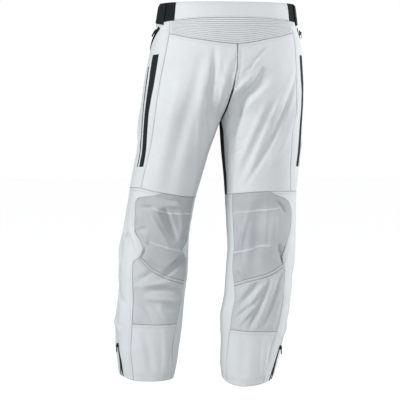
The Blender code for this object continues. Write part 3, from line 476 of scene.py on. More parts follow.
@dataclass(frozen=True)
class ClothSurface:
    """The one smooth surface that every panel is cut from, with its folds.

    A fold runs past its ends by the overrun, as a share of its length, and fades there. Its
    width is judged with most of the distance in depth left out, by the share depth_blind.
    """

    crumple_depth: float = 0.0011
    crumple_scale: tuple[float, float, float] = (16.0, 16.0, 9.0)
    fine_scale: tuple[float, float, float] = (38.0, 38.0, 26.0)
    fine_shift: float = 7.0
    fine_share: float = 0.35
    overrun: float = 0.1
    end_power: float = 0.7
    path_points: int = 9
    depth_blind: float = 0.8
    turn_step: float = 0.002
    vent_margin: float = 0.001
    crotch_margin: float = 0.008
    halvings: int = 24

    def inside(self, side: Side, height: np.ndarray) -> np.ndarray:
        """x of the inside: a common middle above the crotch, each leg's own below.

        Args:
            side: The leg.
            height: The heights.

        Returns:
            x at each height.
        """
        hips = tuple(ring for ring in RINGS[Side.LEFT] if ring.height >= CROTCH_HEIGHT)
        leg = tuple(ring for ring in RINGS[side] if ring.height <= CROTCH_HEIGHT)
        middle = curve(hips, "height", "inner", height)
        return np.where(height > CROTCH_HEIGHT, middle, curve(leg, "height", "inner", height))

    def spread(self, height: np.ndarray) -> np.ndarray:
        """How far the ring has become a leg's own: 0 at the hips, 1 at the crotch."""
        fall = (HIP_SPLIT_HEIGHT - height) / (HIP_SPLIT_HEIGHT - CROTCH_HEIGHT)
        return np.sin(0.5 * math.pi * np.clip(fall, 0.0, 1.0) ** HIP_SPLIT_POWER)

    def middle_turn(self, height: np.ndarray) -> np.ndarray:
        """Turn at which the middle of the body cuts a side's ring off, at the back.

        Args:
            height: The heights.

        Returns:
            A turn for each height.
        """
        share = self.spread(height)
        level = share / (2.0 - share)
        return np.arccos(level ** (0.5 * SQUARENESS)) / (2.0 * math.pi)

    def form(self, side: Side, turn: np.ndarray, height: np.ndarray) -> np.ndarray:
        """Points of the smooth outline, before any fold.

        Args:
            side: The leg.
            turn: Turn of each point.
            height: Height of each point.

        Returns:
            World points, one more axis than the turns.
        """
        ring = {name: curve(RINGS[side], "height", name, height) for name in ("outer", "back", "front")}
        inner = self.inside(side, height)
        middle_x = inner + 0.5 * (ring["outer"] - inner) * self.spread(height)
        reach_x = ring["outer"] - middle_x
        middle_y = 0.5 * (ring["back"] + ring["front"])
        reach_y = 0.5 * (ring["back"] - ring["front"])
        angle = 2.0 * math.pi * turn
        x = middle_x - reach_x * bulge(np.cos(angle), 2.0 / SQUARENESS)
        y = middle_y + reach_y * bulge(np.sin(angle), 2.0 / SQUARENESS)
        return np.stack([x, y, height + 0.0 * turn], axis=-1)

    def outward(self, side: Side, turn: np.ndarray, height: np.ndarray) -> np.ndarray:
        """Level unit vectors square to the outline, away from the hollow inside.

        Args:
            side: The leg.
            turn: Turn of each point.
            height: Height of each point.

        Returns:
            A unit vector for each point.
        """
        step = self.turn_step
        along = self.form(side, turn + step, height) - self.form(side, turn - step, height)
        sign = 1.0 if side is Side.LEFT else -1.0
        normal = np.stack([-sign * along[..., 1], sign * along[..., 0], 0.0 * along[..., 2]], axis=-1)
        return normal / np.linalg.norm(normal, axis=-1, keepdims=True)

    def fold_path(self, side: Side, fold: Fold) -> np.ndarray:
        """Points along a fold, on the smooth outline.

        Args:
            side: The leg.
            fold: The fold.

        Returns:
            Points from its first place to its last.
        """
        share = np.linspace(0.0, 1.0, len(fold.spots))
        fine = np.linspace(0.0, 1.0, self.path_points)
        turns, heights = np.array(fold.spots).T
        corners = self.form(side, turns, heights)
        return np.stack([np.polyval(np.polyfit(share, column, len(share) - 1), fine)
                         for column in corners.T], axis=-1)

    def fold_height(self, side: Side, points: np.ndarray, outward: np.ndarray) -> np.ndarray:
        """How far the folds push the cloth out.

        Args:
            side: The leg.
            points: Places on the smooth outline, in the world.
            outward: The outward direction at each.

        Returns:
            The push of each place in metres.
        """
        total = np.zeros(points.shape[:-1])
        for fold in FOLDS[side]:
            path = self.fold_path(side, fold)
            margin = fold.half_width * (1.0 + abs(fold.lean))
            margin += self.overrun * np.linalg.norm(path[-1] - path[0])
            above = points > path.min(axis=0) - margin
            below = points < path.max(axis=0) + margin
            near = np.all(above & below, axis=-1)
            if not near.any():
                continue
            total[near] += fold.depth * self.fold_profile(fold, path, points[near], outward[near])
        return total

    def fold_profile(self, fold: Fold, path: np.ndarray, points: np.ndarray,
                     outward: np.ndarray) -> np.ndarray:
        """Share of a fold's depth, 0 to 1, at points near its path.

        Args:
            fold: The fold.
            path: Points along it.
            points: Places on the smooth outline.
            outward: The outward direction at each.

        Returns:
            A share for each place.
        """
        best = np.full(len(points), np.inf)
        share = np.zeros(len(points))
        count = len(path) - 1
        for index in range(count):
            start, run = path[index], path[index + 1] - path[index]
            off = points - start
            along = np.clip(off @ run / (run @ run), -float(index == 0), 1.0 + float(index == count - 1))
            beside = off - along[:, None] * run
            beside -= np.einsum("ij,ij->i", beside, outward)[:, None] * outward * self.depth_blind
            turned = np.einsum("ij,ij->i", np.cross(outward, run), beside)
            half = fold.half_width * (1.0 + fold.lean * np.sign(turned))
            reach = np.einsum("ij,ij->i", beside, beside) / half ** 2
            share = np.where(reach < best, (index + along) / count, share)
            best = np.minimum(best, reach)
        fade = np.clip((share + self.overrun) / (1.0 + 2.0 * self.overrun), 0.0, 1.0)
        return np.clip(1.0 - best, 0.0, 1.0) ** 2 * np.sin(math.pi * fade) ** self.end_power

    def crumple(self, points: np.ndarray) -> np.ndarray:
        """Small uneven waves that break up the smooth cloth between its folds.

        Args:
            points: Places on the smooth outline.

        Returns:
            A push in metres for each.
        """
        flat = points.reshape(-1, 3)
        fine_at = flat * self.fine_scale + np.array((self.fine_shift, 0.0, 0.0))
        wave = [noise.noise(Vector(spot)) for spot in flat * self.crumple_scale]
        fine = [noise.noise(Vector(spot)) for spot in fine_at]
        total = self.crumple_depth * (np.array(wave) + self.fine_share * np.array(fine))
        return total.reshape(points.shape[:-1])

    def across_middle(self, turn: np.ndarray) -> tuple[np.ndarray, np.ndarray]:
        """Which turns of a piece across the middle lie on the right, and where there."""
        mirrored = (turn < BACK_TURN) | (turn > FRONT_TURN)
        return mirrored, np.where(turn < BACK_TURN, 2.0 * BACK_TURN, 2.0 * FRONT_TURN) - turn

    def place(self, side: Side, turn: np.ndarray, height: np.ndarray,
              lift: np.ndarray | float = 0.0) -> np.ndarray:
        """Points on the cloth.

        Args:
            side: The leg, or BOTH for a piece that crosses the middle.
            turn: Turn of each point.
            height: Height of each point.
            lift: How far out from the surface each lies, in metres.

        Returns:
            World points, one more axis than the turns.
        """
        turn, height = np.broadcast_arrays(np.asarray(turn, float), np.asarray(height, float))
        if side is Side.BOTH:
            mirrored, other = self.across_middle(turn)
            points = self.place(Side.LEFT, np.where(mirrored, OUTSIDE_TURN, turn), height, lift)
            opposite = self.place(Side.RIGHT, np.where(mirrored, other, OUTSIDE_TURN), height, lift)
            return np.where(mirrored[..., None], opposite, points)
        sign = 1.0 if side is Side.LEFT else -1.0
        points = self.form(side, turn, height)
        outward = self.outward(side, turn, height)
        push = self.fold_height(side, points, outward) + self.crumple(points) + lift
        points = points + outward * push[..., None]
        points[..., 0] += sign * 0.5 * SEAM_GAP
        return points

    def seam_turn(self, side: Side, name: str, height: np.ndarray) -> np.ndarray:
        """Turn at which a seam that runs down lies at a height.

        Args:
            side: The leg.
            name: The seam.
            height: The heights.

        Returns:
            A turn for each height.
        """
        middle = self.middle_turn(height)
        if name == "centre_back":
            return middle
        if name == "centre_front":
            return 1.0 - middle
        if name == "gusset_back":
            return middle + curve(GUSSET_WIDTHS, "height", "back", height)
        if name == "gusset_front":
            return 1.0 - middle - curve(GUSSET_WIDTHS, "height", "front", height)
        return curve(DOWN_SEAMS[name], "height", side.value, height)

    def seam_height(self, side: Side, name: str, turn: np.ndarray) -> np.ndarray:
        """Height at which a seam that runs across lies at a turn.

        Args:
            side: The leg, or BOTH for a seam across the middle.
            name: The seam.
            turn: The turns.

        Returns:
            A height for each turn.
        """
        if side is Side.BOTH:
            mirrored, other = self.across_middle(turn)
            on_left = curve(CROSS_SEAMS[name], "turn", "left", turn)
            return np.where(mirrored, curve(CROSS_SEAMS[name], "turn", "right", other), on_left)
        if name in ("strip_top", "strip_bottom"):
            sign = 1.0 if name == "strip_top" else -1.0
            return self.seam_height(side, "strip", turn) + sign * STRIP_HALF_HEIGHT
        return curve(CROSS_SEAMS[name], "turn", side.value, turn % 1.0)

    def vent_half_gap(self, side: Side, height: np.ndarray) -> np.ndarray:
        """Half the space between the side seam's two edges, wider down the vent.

        Args:
            side: The leg.
            height: The heights.

        Returns:
            Half the gap in metres, at each height.
        """
        top = self.seam_height(side, "vent_top", np.array(VENT_TURN))
        foot = self.seam_height(side, "hem", np.array(VENT_TURN))
        share = np.clip((top - height) / (top - foot), 0.0, 1.0)
        opened = VENT_GAP_TOP + (VENT_GAP_HEM - VENT_GAP_TOP) * share
        return 0.5 * np.where(height > top + self.vent_margin, SEAM_GAP, opened)

    def edge(self, side: Side, name: str, sign: float, lap: float = 0.0) -> Edge:
        """A panel's edge along a seam that runs down.

        Args:
            side: The leg.
            name: The seam.
            sign: 1 where the panel starts at the seam, -1 where it ends there.
            lap: Whole turns that are added.

        Returns:
            A function from height to turn.
        """

        def turn_at(height: np.ndarray) -> np.ndarray:
            """Turn of the edge at a height.

            Args:
                height: The heights.

            Returns:
                A turn for each height.
            """
            offset = 0.5 * SEAM_GAP
            if name == "outseam":
                offset = self.vent_half_gap(side, height)
            if name.startswith("centre"):
                offset = np.where(height < CROTCH_HEIGHT + self.crotch_margin, 0.5 * SEAM_GAP, 0.0)
            return self.seam_turn(side, name, height) + sign * offset / GIRTH + lap

        return turn_at

    def ruled(self, side: Side, edges: tuple[Edge, Edge], seams: tuple[str, str],
              down: np.ndarray, across: np.ndarray) -> tuple[np.ndarray, np.ndarray]:
        """Turns and heights of a grid between two edges and two seams that run across.

        Args:
            side: The leg, or BOTH.
            edges: The first and second edge, as functions from height to turn.
            seams: Names of the seams at the top and the foot.
            down: Shares of the way down.
            across: Shares of the way across.

        Returns:
            Two arrays, one row for each share down.
        """
        down, across = np.meshgrid(down, across, indexing="ij")
        low = np.full_like(down, LOWEST)
        high = np.full_like(down, HIGHEST)
        for _ in range(self.halvings):
            height = 0.5 * (low + high)
            first = edges[0](height)
            turn = first + (edges[1](height) - first) * across
            top = self.seam_height(side, seams[0], turn)
            foot = self.seam_height(side, seams[1], turn)
            below = height < top + (foot - top) * down
            low = np.where(below, height, low)
            high = np.where(below, high, height)
        return turn, height


CLOTH = ClothSurface()


# ================================================================== shader helpers
class Signal:
    """A number that varies over a surface, as a socket that Python maths can use."""

    def __init__(self, graph: "Graph", socket: bpy.types.NodeSocket) -> None:
        """Wrap a socket of one tree."""
        self.graph = graph
        self.socket = socket

    def math(self, operation: str, *terms: object) -> "Signal":
        """Add one Math node on these terms."""
        return self.graph.signal("ShaderNodeMath", {"operation": operation}, dict(enumerate(terms)))

    def __add__(self, other: object) -> "Signal":
        """Sum."""
        return self.math("ADD", self, other)

    __radd__ = __add__

    def __sub__(self, other: object) -> "Signal":
        """Difference."""
        return self.math("SUBTRACT", self, other)

    def __rsub__(self, other: object) -> "Signal":
        """Difference from a plain number."""
        return self.math("SUBTRACT", other, self)

    def __mul__(self, other: object) -> "Signal":
        """Product."""
        return self.math("MULTIPLY", self, other)

    __rmul__ = __mul__

    def __truediv__(self, other: object) -> "Signal":
        """Quotient."""
        return self.math("DIVIDE", self, other)

    def fraction(self) -> "Signal":
        """The part after the point."""
        return self.math("FRACT", self)

    def size(self) -> "Signal":
        """The absolute value."""
        return self.math("ABSOLUTE", self)

    def sine(self) -> "Signal":
        """The sine."""
        return self.math("SINE", self)

    def least(self, other: object) -> "Signal":
        """The lesser of two."""
        return self.math("MINIMUM", self, other)

    def most(self, other: object) -> "Signal":
        """The greater of two."""
        return self.math("MAXIMUM", self, other)

    def soft_step(self, low: float, high: float) -> "Signal":
        """0 below low and 1 above high, smooth between; falls where high is below low.

        Args:
            low: The value that gives 0.
            high: The value that gives 1.

        Returns:
            The share.
        """
        ends = {1: min(low, high), 2: max(low, high), 3: float(low > high), 4: float(low <= high)}
        settings = {"interpolation_type": "SMOOTHSTEP", "clamp": True}
        return self.graph.signal("ShaderNodeMapRange", settings, {0: self, **ends})


class Graph:
    """A node tree, whose new nodes all come from one method."""

    def __init__(self, tree: bpy.types.NodeTree) -> None:
        """Work in this tree."""
        self.tree = tree

    def feed(self, made: bpy.types.Node, inputs: dict) -> None:
        """Set or link a node's sockets.

        Args:
            made: The node.
            inputs: Socket names or numbers to values, Signals or sockets.
        """
        for name, value in inputs.items():
            value = value.socket if isinstance(value, Signal) else value
            if isinstance(value, bpy.types.NodeSocket):
                self.tree.links.new(value, made.inputs[name])
            else:
                made.inputs[name].default_value = value

    def node(self, kind: str, settings: dict, inputs: dict) -> bpy.types.Node:
        """Add a node.

        Args:
            kind: The node's type.
            settings: Its properties, which are set first.
            inputs: Socket names or numbers to values, Signals or sockets.

        Returns:
            The new node.
        """
        made = self.tree.nodes.new(kind)
        for name, value in settings.items():
            setattr(made, name, value)
        self.feed(made, inputs)
        return made

    def signal(self, kind: str, settings: dict, inputs: dict, output: int | str = 0) -> Signal:
        """Add a node and wrap one of its outputs."""
        return Signal(self, self.node(kind, settings, inputs).outputs[output])


class Dye(Graph):
    """The node tree of one finish."""

    def __init__(self, name: str) -> None:
        """Start a material.

        Args:
            name: The material's name.
        """
        self.material = bpy.data.materials.new(name)
        self.material.use_nodes = True
        super().__init__(self.material.node_tree)
        self.shader = self.tree.nodes["Principled BSDF"]

    def uv(self, name: str) -> tuple[Signal, Signal]:
        """Both numbers of one UV map, in metres.

        Args:
            name: The map.

        Returns:
            The number across and the number down.
        """
        spot = self.node("ShaderNodeUVMap", {"uv_map": name}, {})
        split = self.node("ShaderNodeSeparateXYZ", {}, {0: spot.outputs[0]})
        return Signal(self, split.outputs[0]), Signal(self, split.outputs[1])

    def object_noise(self, scale: float, detail: float = 2.0) -> Signal:
        """Noise in Object coordinates, about 0.5.

        Args:
            scale: Waves in a metre.
            detail: Octaves.

        Returns:
            The noise.
        """
        spot = self.node("ShaderNodeTexCoord", {}, {}).outputs["Object"]
        inputs = {"Vector": spot, "Scale": scale, "Detail": detail}
        return self.signal("ShaderNodeTexNoise", {}, inputs)

    def blend(self, share: Signal, first: object, second: object) -> bpy.types.NodeSocket:
        """Mix two colours."""
        colours = {0: share, 6: opaque(first), 7: opaque(second)}
        return self.node("ShaderNodeMix", {"data_type": "RGBA"}, colours).outputs[2]

    def finish(self, colour: object, roughness: object, height: Signal | None = None,
               metallic: float = 0.0) -> bpy.types.Material:
        """Feed the shader.

        Args:
            colour: Base colour or its socket.
            roughness: Number or Signal.
            height: Relief in metres, or None for a smooth surface.
            metallic: Constant metallic value.

        Returns:
            The material.
        """
        inputs = {"Base Color": opaque(colour), "Roughness": roughness, "Metallic": metallic}
        self.feed(self.shader, inputs)
        if height is not None:
            bump = self.node("ShaderNodeBump", {}, {"Strength": 1.0, "Distance": 1.0, "Height": height})
            self.feed(self.shader, {"Normal": bump.outputs[0]})
        return self.material


def opaque(colour: object) -> object:
    """A three-part colour with full alpha; anything else as it is."""
    return (*colour, 1.0) if isinstance(colour, tuple) and len(colour) == 3 else colour


# ================================================================== finishes
class Weave(Enum):
    """The structure of a cloth."""

    PLAIN = "plain"
    MESH = "mesh"
    TWILL = "twill"


@dataclass(frozen=True)
class Stripe:
    """A straight black band with blunt ends, between two places."""

    turn_a: float
    height_a: float
    turn_b: float
    height_b: float
    width: float
    soft_half: float = 0.0004


STRIPES = (
    Stripe(0.446, -0.118, 0.412, -0.420, 0.0190),
    Stripe(0.478, -0.150, 0.446, -0.420, 0.0055),
)
SHELL = (0.735, 0.76, 0.77)
BLACK = (0.012, 0.016, 0.018)
MESH_THREAD = (0.64, 0.66, 0.66)


@dataclass(frozen=True)
class ClothFinish:
    """A woven or knitted cloth, with the stitching and laps that its edges have; its colour also carries
    painted shade along its edges, painted shade and highlight by its ridges and painted shade in a mesh's
    holes.
    """

    name: str
    colour: tuple[float, float, float]
    weave: Weave = Weave.PLAIN
    pitch: float = 0.0011
    depth: float = 0.00005
    roughness: float = 0.78
    specular: float = 0.25
    variation: float = 0.05
    mottle: float = 0.05
    lap: float = 0.0075
    hem: float = 0.0
    stitched: bool = True
    stripes: tuple[Stripe, ...] = ()
    thread: tuple[float, float, float] = (0.62, 0.64, 0.64)
    # share of the colour left in the painted shade along a panel's edges, where the seams lie
    rim_painted_shade: float = 0.93
    # painted light by ridges: colour share in the channels (painted shade) and on the ridge tops (painted
    # highlight)
    ridge_painted_shade_and_highlight: tuple[float, float] = (1.0, 1.0)
    stitch_rows: tuple[float, float] = (0.0017, 0.0064)
    stitch_pitch: float = 0.0034
    stitch_height: float = 0.00022
    hem_rows_apart: float = 0.0050
    rim_width: float = 0.0009
    rim_round: tuple[float, float] = (0.0018, 0.0005)
    pucker_reach: float = 0.016
    pucker_depth: float = 0.0011
    lap_height: float = 0.0004
    hem_height: float = 0.0005
    # how much darker a mesh's holes are painted, as painted shade in the holes
    hole_painted_shade: float = 0.45

    def weave_height(self, x: Signal, y: Signal) -> tuple[Signal, Signal | None]:
        """Relief of the weave in metres, and the share of open hole for a mesh.

        Args:
            x: Metres round the leg.
            y: Metres up the leg.

        Returns:
            The relief, and the share of hole or None.
        """
        turn = 2.0 * math.pi / self.pitch
        if self.weave is Weave.MESH:
            lattice = (x * turn).sine() * (y * turn).sine()
            hole = lattice.size().soft_step(0.42, 0.80)
            return hole * -self.depth, hole
        if self.weave is Weave.TWILL:
            return ((x + y) * turn).sine() * self.depth, None
        return (x * turn).sine() * (y * turn).sine() * self.depth, None

    def stitch_row(self, away: Signal, run: Signal, offset: float) -> Signal:
        """Thread of one row of stitches, `offset` metres in from an edge.

        Args:
            away: Metres from the edge.
            run: Metres along it.
            offset: How far in the row lies.

        Returns:
            1 on the thread, 0 beside it.
        """
        across = (away - offset).size().soft_step(0.00040, 0.00020)
        dash = ((run / self.stitch_pitch).fraction() - 0.5).size().soft_step(0.42, 0.34)
        return across * dash

    def build(self) -> bpy.types.Material:
        """Make the material.

        Returns:
            The material.
        """
        dye = Dye(self.name)
        x, y = dye.uv("cloth")
        first, second = dye.uv("sides")
        top, foot = dye.uv("ends")
        height, hole = self.weave_height(x, y)
        tone = dye.object_noise(55.0, 3.0)
        broad = dye.object_noise(18.0, 1.0)
        shade = (tone - 0.5) * self.variation + (broad - 0.5) * self.mottle + 1.0
        # Painted shade: the colour darkens along every edge of the panel, where the seam's groove lies.
        rim = first.least(second).least(top).least(foot)
        shade = shade * (rim.soft_step(0.0, self.rim_width) * (1.0 - self.rim_painted_shade) + self.rim_painted_shade)
        # Painted light: the colour darkens in the channels between ribs and piping and lightens on the knee
        # mesh's sewn ridges.
        if self.ridge_painted_shade_and_highlight != (1.0, 1.0):
            ridge = dye.signal("ShaderNodeAttribute", {"attribute_name": "ridge"}, {}, "Fac")
            low, high = self.ridge_painted_shade_and_highlight
            shade = shade * (ridge.soft_step(0.0, 1.0) * (high - low) + low)
        height = height + rim.soft_step(0.0, self.rim_round[0]) * self.rim_round[1]
        pucker = dye.object_noise(130.0, 1.0)
        height = height + rim.soft_step(self.pucker_reach, 0.0) * (pucker - 0.5) * self.pucker_depth
        if self.lap:
            lap = first.least(top).soft_step(self.lap + 0.0008, self.lap)
            height = height + lap * self.lap_height
        # Painted shade: a mesh's holes are coloured darker.
        if hole is not None:
            shade = shade * (1.0 - hole * self.hole_painted_shade)
        grey = dye.node("ShaderNodeCombineColor", {}, {0: shade, 1: shade, 2: shade}).outputs[0]
        plain = {0: 1.0, 6: opaque(self.colour), 7: grey}
        colour = dye.node("ShaderNodeMix", {"data_type": "RGBA", "blend_type": "MULTIPLY"}, plain).outputs[2]
        for stripe in self.stripes:
            colour = dye.blend(self.stripe_mask(x, y, stripe), colour, BLACK)
        if self.stitched:
            near, far = self.stitch_rows
            rows = self.stitch_row(first, top, near).most(self.stitch_row(top, first, near))
            rows = rows.most(self.stitch_row(first, top, far)).most(self.stitch_row(top, first, far))
            if self.hem:
                rows = rows.most(self.stitch_row(foot, first, self.hem))
                rows = rows.most(self.stitch_row(foot, first, self.hem - self.hem_rows_apart))
                turned = foot.soft_step(self.hem + 0.0010, self.hem + 0.0002)
                height = height + turned * self.hem_height
            height = height + rows * self.stitch_height
            colour = dye.blend(rows, colour, self.thread)
        rough = (tone - 0.5) * 0.12 + self.roughness
        dye.feed(dye.shader, {"Specular IOR Level": self.specular})
        return dye.finish(colour, rough, height)

    def stripe_mask(self, x: Signal, y: Signal, stripe: Stripe) -> Signal:
        """1 inside one stripe, 0 outside.

        Args:
            x: Metres round the leg.
            y: Metres up the leg.
            stripe: The band.

        Returns:
            The mask.
        """
        run_x = (stripe.turn_b - stripe.turn_a) * GIRTH
        run_y = stripe.height_b - stripe.height_a
        length = math.hypot(run_x, run_y)
        off_x = x - stripe.turn_a * GIRTH
        off_y = y - stripe.height_a
        along = (off_x * run_x + off_y * run_y) / length
        beside = (off_y * run_x - off_x * run_y) / length
        half = 0.5 * stripe.width
        soft = stripe.soft_half
        inside = beside.size().soft_step(half + soft, half - soft)
        ends = (along - 0.5 * length).size().soft_step(0.5 * length + soft, 0.5 * length - soft)
        return inside * ends


@dataclass(frozen=True)
class EnamelFinish:
    """Black enamelled zinc with rubbed, slightly uneven gloss."""

    name: str = "black_enamel"
    colour: tuple[float, float, float] = (0.030, 0.031, 0.033)
    worn: tuple[float, float, float] = (0.16, 0.16, 0.165)

    def build(self) -> bpy.types.Material:
        """Make the material.

        Returns:
            The material.
        """
        dye = Dye(self.name)
        grain = dye.object_noise(420.0, 3.0)
        rub = dye.object_noise(160.0, 2.0).soft_step(0.58, 0.74)
        colour = dye.blend(rub * 0.6, self.colour, self.worn)
        rough = (grain - 0.5) * 0.20 + 0.38
        return dye.finish(colour, rough, grain * 0.00004, metallic=0.75)


@dataclass(frozen=True)
class FloorFinish:
    """The plain pale floor."""

    name: str = "studio_floor"
    colour: tuple[float, float, float] = (0.93, 0.93, 0.93)
    shade: tuple[float, float, float] = (0.85, 0.85, 0.85)
    roughness: float = 0.9
    opacity: float = 0.20
    glow: float = 0.70

    def build(self) -> bpy.types.Material:
        """Make the material.

        Returns:
            The material.
        """
        dye = Dye(self.name)
        mottle = dye.object_noise(3.0, 2.0)
        colour = dye.blend(mottle * 0.03, self.colour, self.shade)
        white = (1.0, 1.0, 1.0, 1.0)
        lit = {"Alpha": self.opacity, "Emission Color": white, "Emission Strength": self.glow}
        dye.feed(dye.shader, lit)
        return dye.finish(colour, self.roughness)


FINISHES = {
    "shell": ClothFinish("shell_cloth", SHELL, stripes=STRIPES),
    "hem": ClothFinish("shell_cloth_hemmed", SHELL, hem=0.020),
    "lining": ClothFinish("lining_cloth", (0.55, 0.57, 0.57), lap=0.0, stitched=False),
    # Painted light in these finishes: the yoke's rib channels and the strip's piping get painted shade, the
    # knee mesh's sewn ridges a painted highlight, and both meshes painted shade along their edges and in
    # their holes.
    "yoke": ClothFinish("ribbed_stretch_cloth", SHELL, pitch=0.0016, lap=0.0, stitched=False,
                        ridge_painted_shade_and_highlight=(0.50, 1.0)),
    "strip": ClothFinish("piped_cloth", SHELL, lap=0.0, stitched=False, ridge_painted_shade_and_highlight=(0.72, 0.97)),
    "band": ClothFinish("waistband_cloth", SHELL, pitch=0.0013, lap=0.0, hem=0.0040),
    "mesh": ClothFinish("air_mesh", (0.645, 0.67, 0.685), Weave.MESH, 0.0046, 0.0005, 0.82,
                        variation=0.10, mottle=0.30, thread=MESH_THREAD, rim_painted_shade=0.50,
                        ridge_painted_shade_and_highlight=(1.0, 1.45)),
    "calf_mesh": ClothFinish("calf_air_mesh", (0.76, 0.79, 0.80), Weave.MESH, 0.0046, 0.0005, 0.82,
                             variation=0.10, mottle=0.24, thread=MESH_THREAD, rim_painted_shade=0.50),
    "black": ClothFinish("black_cloth", BLACK, pitch=0.0014, depth=0.00009, specular=0.15,
                         thread=(0.02, 0.024, 0.026)),
    "webbing": ClothFinish("black_webbing", BLACK, Weave.TWILL, 0.0018, 0.00012, specular=0.15,
                           lap=0.0, thread=(0.03, 0.033, 0.035)),
    "tape": ClothFinish("zip_tape", (0.015, 0.018, 0.020), Weave.TWILL, 0.0010, 0.00006,
                        specular=0.2, lap=0.0, stitched=False),
}
INKS: dict[str, bpy.types.Material] = {}


def ink(name: str) -> bpy.types.Material:
    """The material of one finish, made once.

    Args:
        name: A key of FINISHES, or enamel or floor.

    Returns:
        The material.
    """
    if name not in INKS:
        INKS[name] = {"enamel": EnamelFinish(), "floor": FloorFinish()}.get(name, FINISHES.get(name)).build()
    return INKS[name]


# ================================================================== pieces
def settle(piece: bpy.types.Object, body: str, nodes: tuple[str, ...]) -> None:
    """Make a piece ride on its body and stand for its nodes.

    Args:
        piece: The piece.
        body: The body that it rides on.
        nodes: The CAD nodes that it stands for, if any.
    """
    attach(piece, body)
    if nodes:
        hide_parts(*nodes)
    count = sum(len(face.vertices) - 2 for face in piece.data.polygons)
    LOG.info("%s: %d triangles before its modifiers", piece.name, count)


def new_piece(form: bmesh.types.BMesh, name: str) -> bpy.types.Object:
    """Turn a finished bmesh into an object in the scene.

    Args:
        form: The bmesh, which is freed.
        name: Name of the object and its mesh.

    Returns:
        The object.
    """
    mesh = bpy.data.meshes.new(name)
    form.to_mesh(mesh)
    form.free()
    piece = bpy.data.objects.new(name, mesh)
    bpy.context.scene.collection.objects.link(piece)
    return piece


def shares(length: float, cell: float = CELL) -> np.ndarray:
    """Shares of the way along an edge, with rows close beside both of its ends.

    Args:
        length: Length of the edge in metres.
        cell: Usual distance between points.

    Returns:
        Shares from 0 to 1.
    """
    near = [metres / length for metres in EDGE_ROWS if metres < 0.2 * length]
    count = max(int(round((length - 2.0 * EDGE_ROWS[-1]) / cell)), 1)
    middle = np.linspace(near[-1], 1.0 - near[-1], count + 1)[1:-1]
    return np.array([*near, *middle, *(1.0 - share for share in reversed(near))])


def spans(points: np.ndarray, axis: int) -> np.ndarray:
    """Distance from the first row (axis 0) or column (axis 1) along the surface.

    Args:
        points: A grid of points.
        axis: The axis that is run along.

    Returns:
        A distance for each point.
    """
    steps = np.linalg.norm(np.diff(points, axis=axis), axis=-1)
    start = np.zeros_like(np.take(steps, [0], axis=axis))
    return np.concatenate([start, np.cumsum(steps, axis=axis)], axis=axis)


@dataclass
class Sheet:
    """One piece of cloth over a grid of places, as a thin closed wall."""

    name: str
    side: Side
    turns: np.ndarray
    heights: np.ndarray
    wall: float
    finish: str
    slot: str
    lift: float = 0.0
    relief: np.ndarray | float = 0.0
    groove: float = 0.0005
    groove_width: float = 0.0028
    held: str = "hung"
    nodes: tuple[str, ...] = ()
    ridge: np.ndarray | None = None

    def build(self) -> bpy.types.Object:
        """Make the wall, its maps and its finish, and settle it.

        Returns:
            The finished piece.
        """
        cut = self.cut_points()
        across = spans(cut, 1)
        down = spans(cut, 0)
        sides = np.stack([across, across[:, -1:] - across], axis=-1)
        ends = np.stack([down, down[-1:] - down], axis=-1)
        rim = np.minimum(sides.min(axis=-1), ends.min(axis=-1))
        drop = self.groove * np.clip(1.0 - rim / self.groove_width, 0.0, 1.0) ** 2
        points = CLOTH.place(self.side, self.turns, self.heights, self.lift + self.relief - drop)
        piece = self.grid_object(points)
        cloth = np.stack([self.turns * GIRTH, self.heights], axis=-1)
        for name, values in (("cloth", cloth), ("sides", sides), ("ends", ends)):
            self.add_map(piece.data, name, values)
        # The ridge share, which the finish turns into painted shade in the channels and painted highlight on
        # the ridges.
        if self.ridge is not None:
            attribute = piece.data.attributes.new("ridge", "FLOAT", "POINT")
            attribute.data.foreach_set("value", self.ridge[::-1].reshape(-1).astype(np.float32))
        piece.data.materials.append(ink(self.finish))
        piece.data.materials.append(ink("lining"))
        wall = piece.modifiers.new("wall", "SOLIDIFY")
        wall.thickness = self.wall
        wall.offset = -1.0
        wall.material_offset = 1 if self.finish in ("shell", "hem") else 0
        settle(piece, BODY, self.nodes or (self.name,))
        return piece

    def cut_points(self) -> np.ndarray:
        """The grid on the smooth form, which is how the piece is cut.

        Returns:
            World points, in rows from the top.
        """
        if self.side is Side.BOTH:
            mirrored, other = CLOTH.across_middle(self.turns)
            left = CLOTH.form(Side.LEFT, np.where(mirrored, OUTSIDE_TURN, self.turns), self.heights)
            right = CLOTH.form(Side.RIGHT, np.where(mirrored, other, OUTSIDE_TURN), self.heights)
            return np.where(mirrored[..., None], right, left)
        return CLOTH.form(self.side, self.turns, self.heights)

    def grid_object(self, points: np.ndarray) -> bpy.types.Object:
        """A grid with its points set and its faces looking outwards.

        Args:
            points: World points, in rows from the top.

        Returns:
            The object.
        """
        rows, columns = points.shape[:2]
        form = bmesh.new()
        bmesh.ops.create_grid(form, x_segments=columns - 1, y_segments=rows - 1, size=1.0)
        if self.side is not Side.RIGHT:
            bmesh.ops.reverse_faces(form, faces=form.faces)
        piece = new_piece(form, f"dressed_{self.name}")
        piece.data.vertices.foreach_set("co", points[::-1].reshape(-1).astype(np.float32))
        piece.data.update()
        piece.data.shade_smooth()
        return piece

    def add_map(self, mesh: bpy.types.Mesh, name: str, values: np.ndarray) -> None:
        """Add a UV map from a pair of numbers at each point.

        Args:
            mesh: The grid's mesh.
            name: The map's name.
            values: The pair at each point of the grid.
        """
        flat = values[::-1].reshape(-1, 2)
        corner = np.empty(len(mesh.loops), np.int32)
        mesh.loops.foreach_get("vertex_index", corner)
        layer = mesh.uv_layers.new(name=name)
        layer.data.foreach_set("uv", flat[corner].reshape(-1).astype(np.float32))


class Panel(NamedTuple):
    """One flat-cut leg panel: the seams round it, its wall and its finish."""

    name: str
    seams: tuple[tuple[str, str], ...]
    first: str
    second: str
    width: float
    wall: float
    finish: str
    slot: str
    first_share: float = 0.0


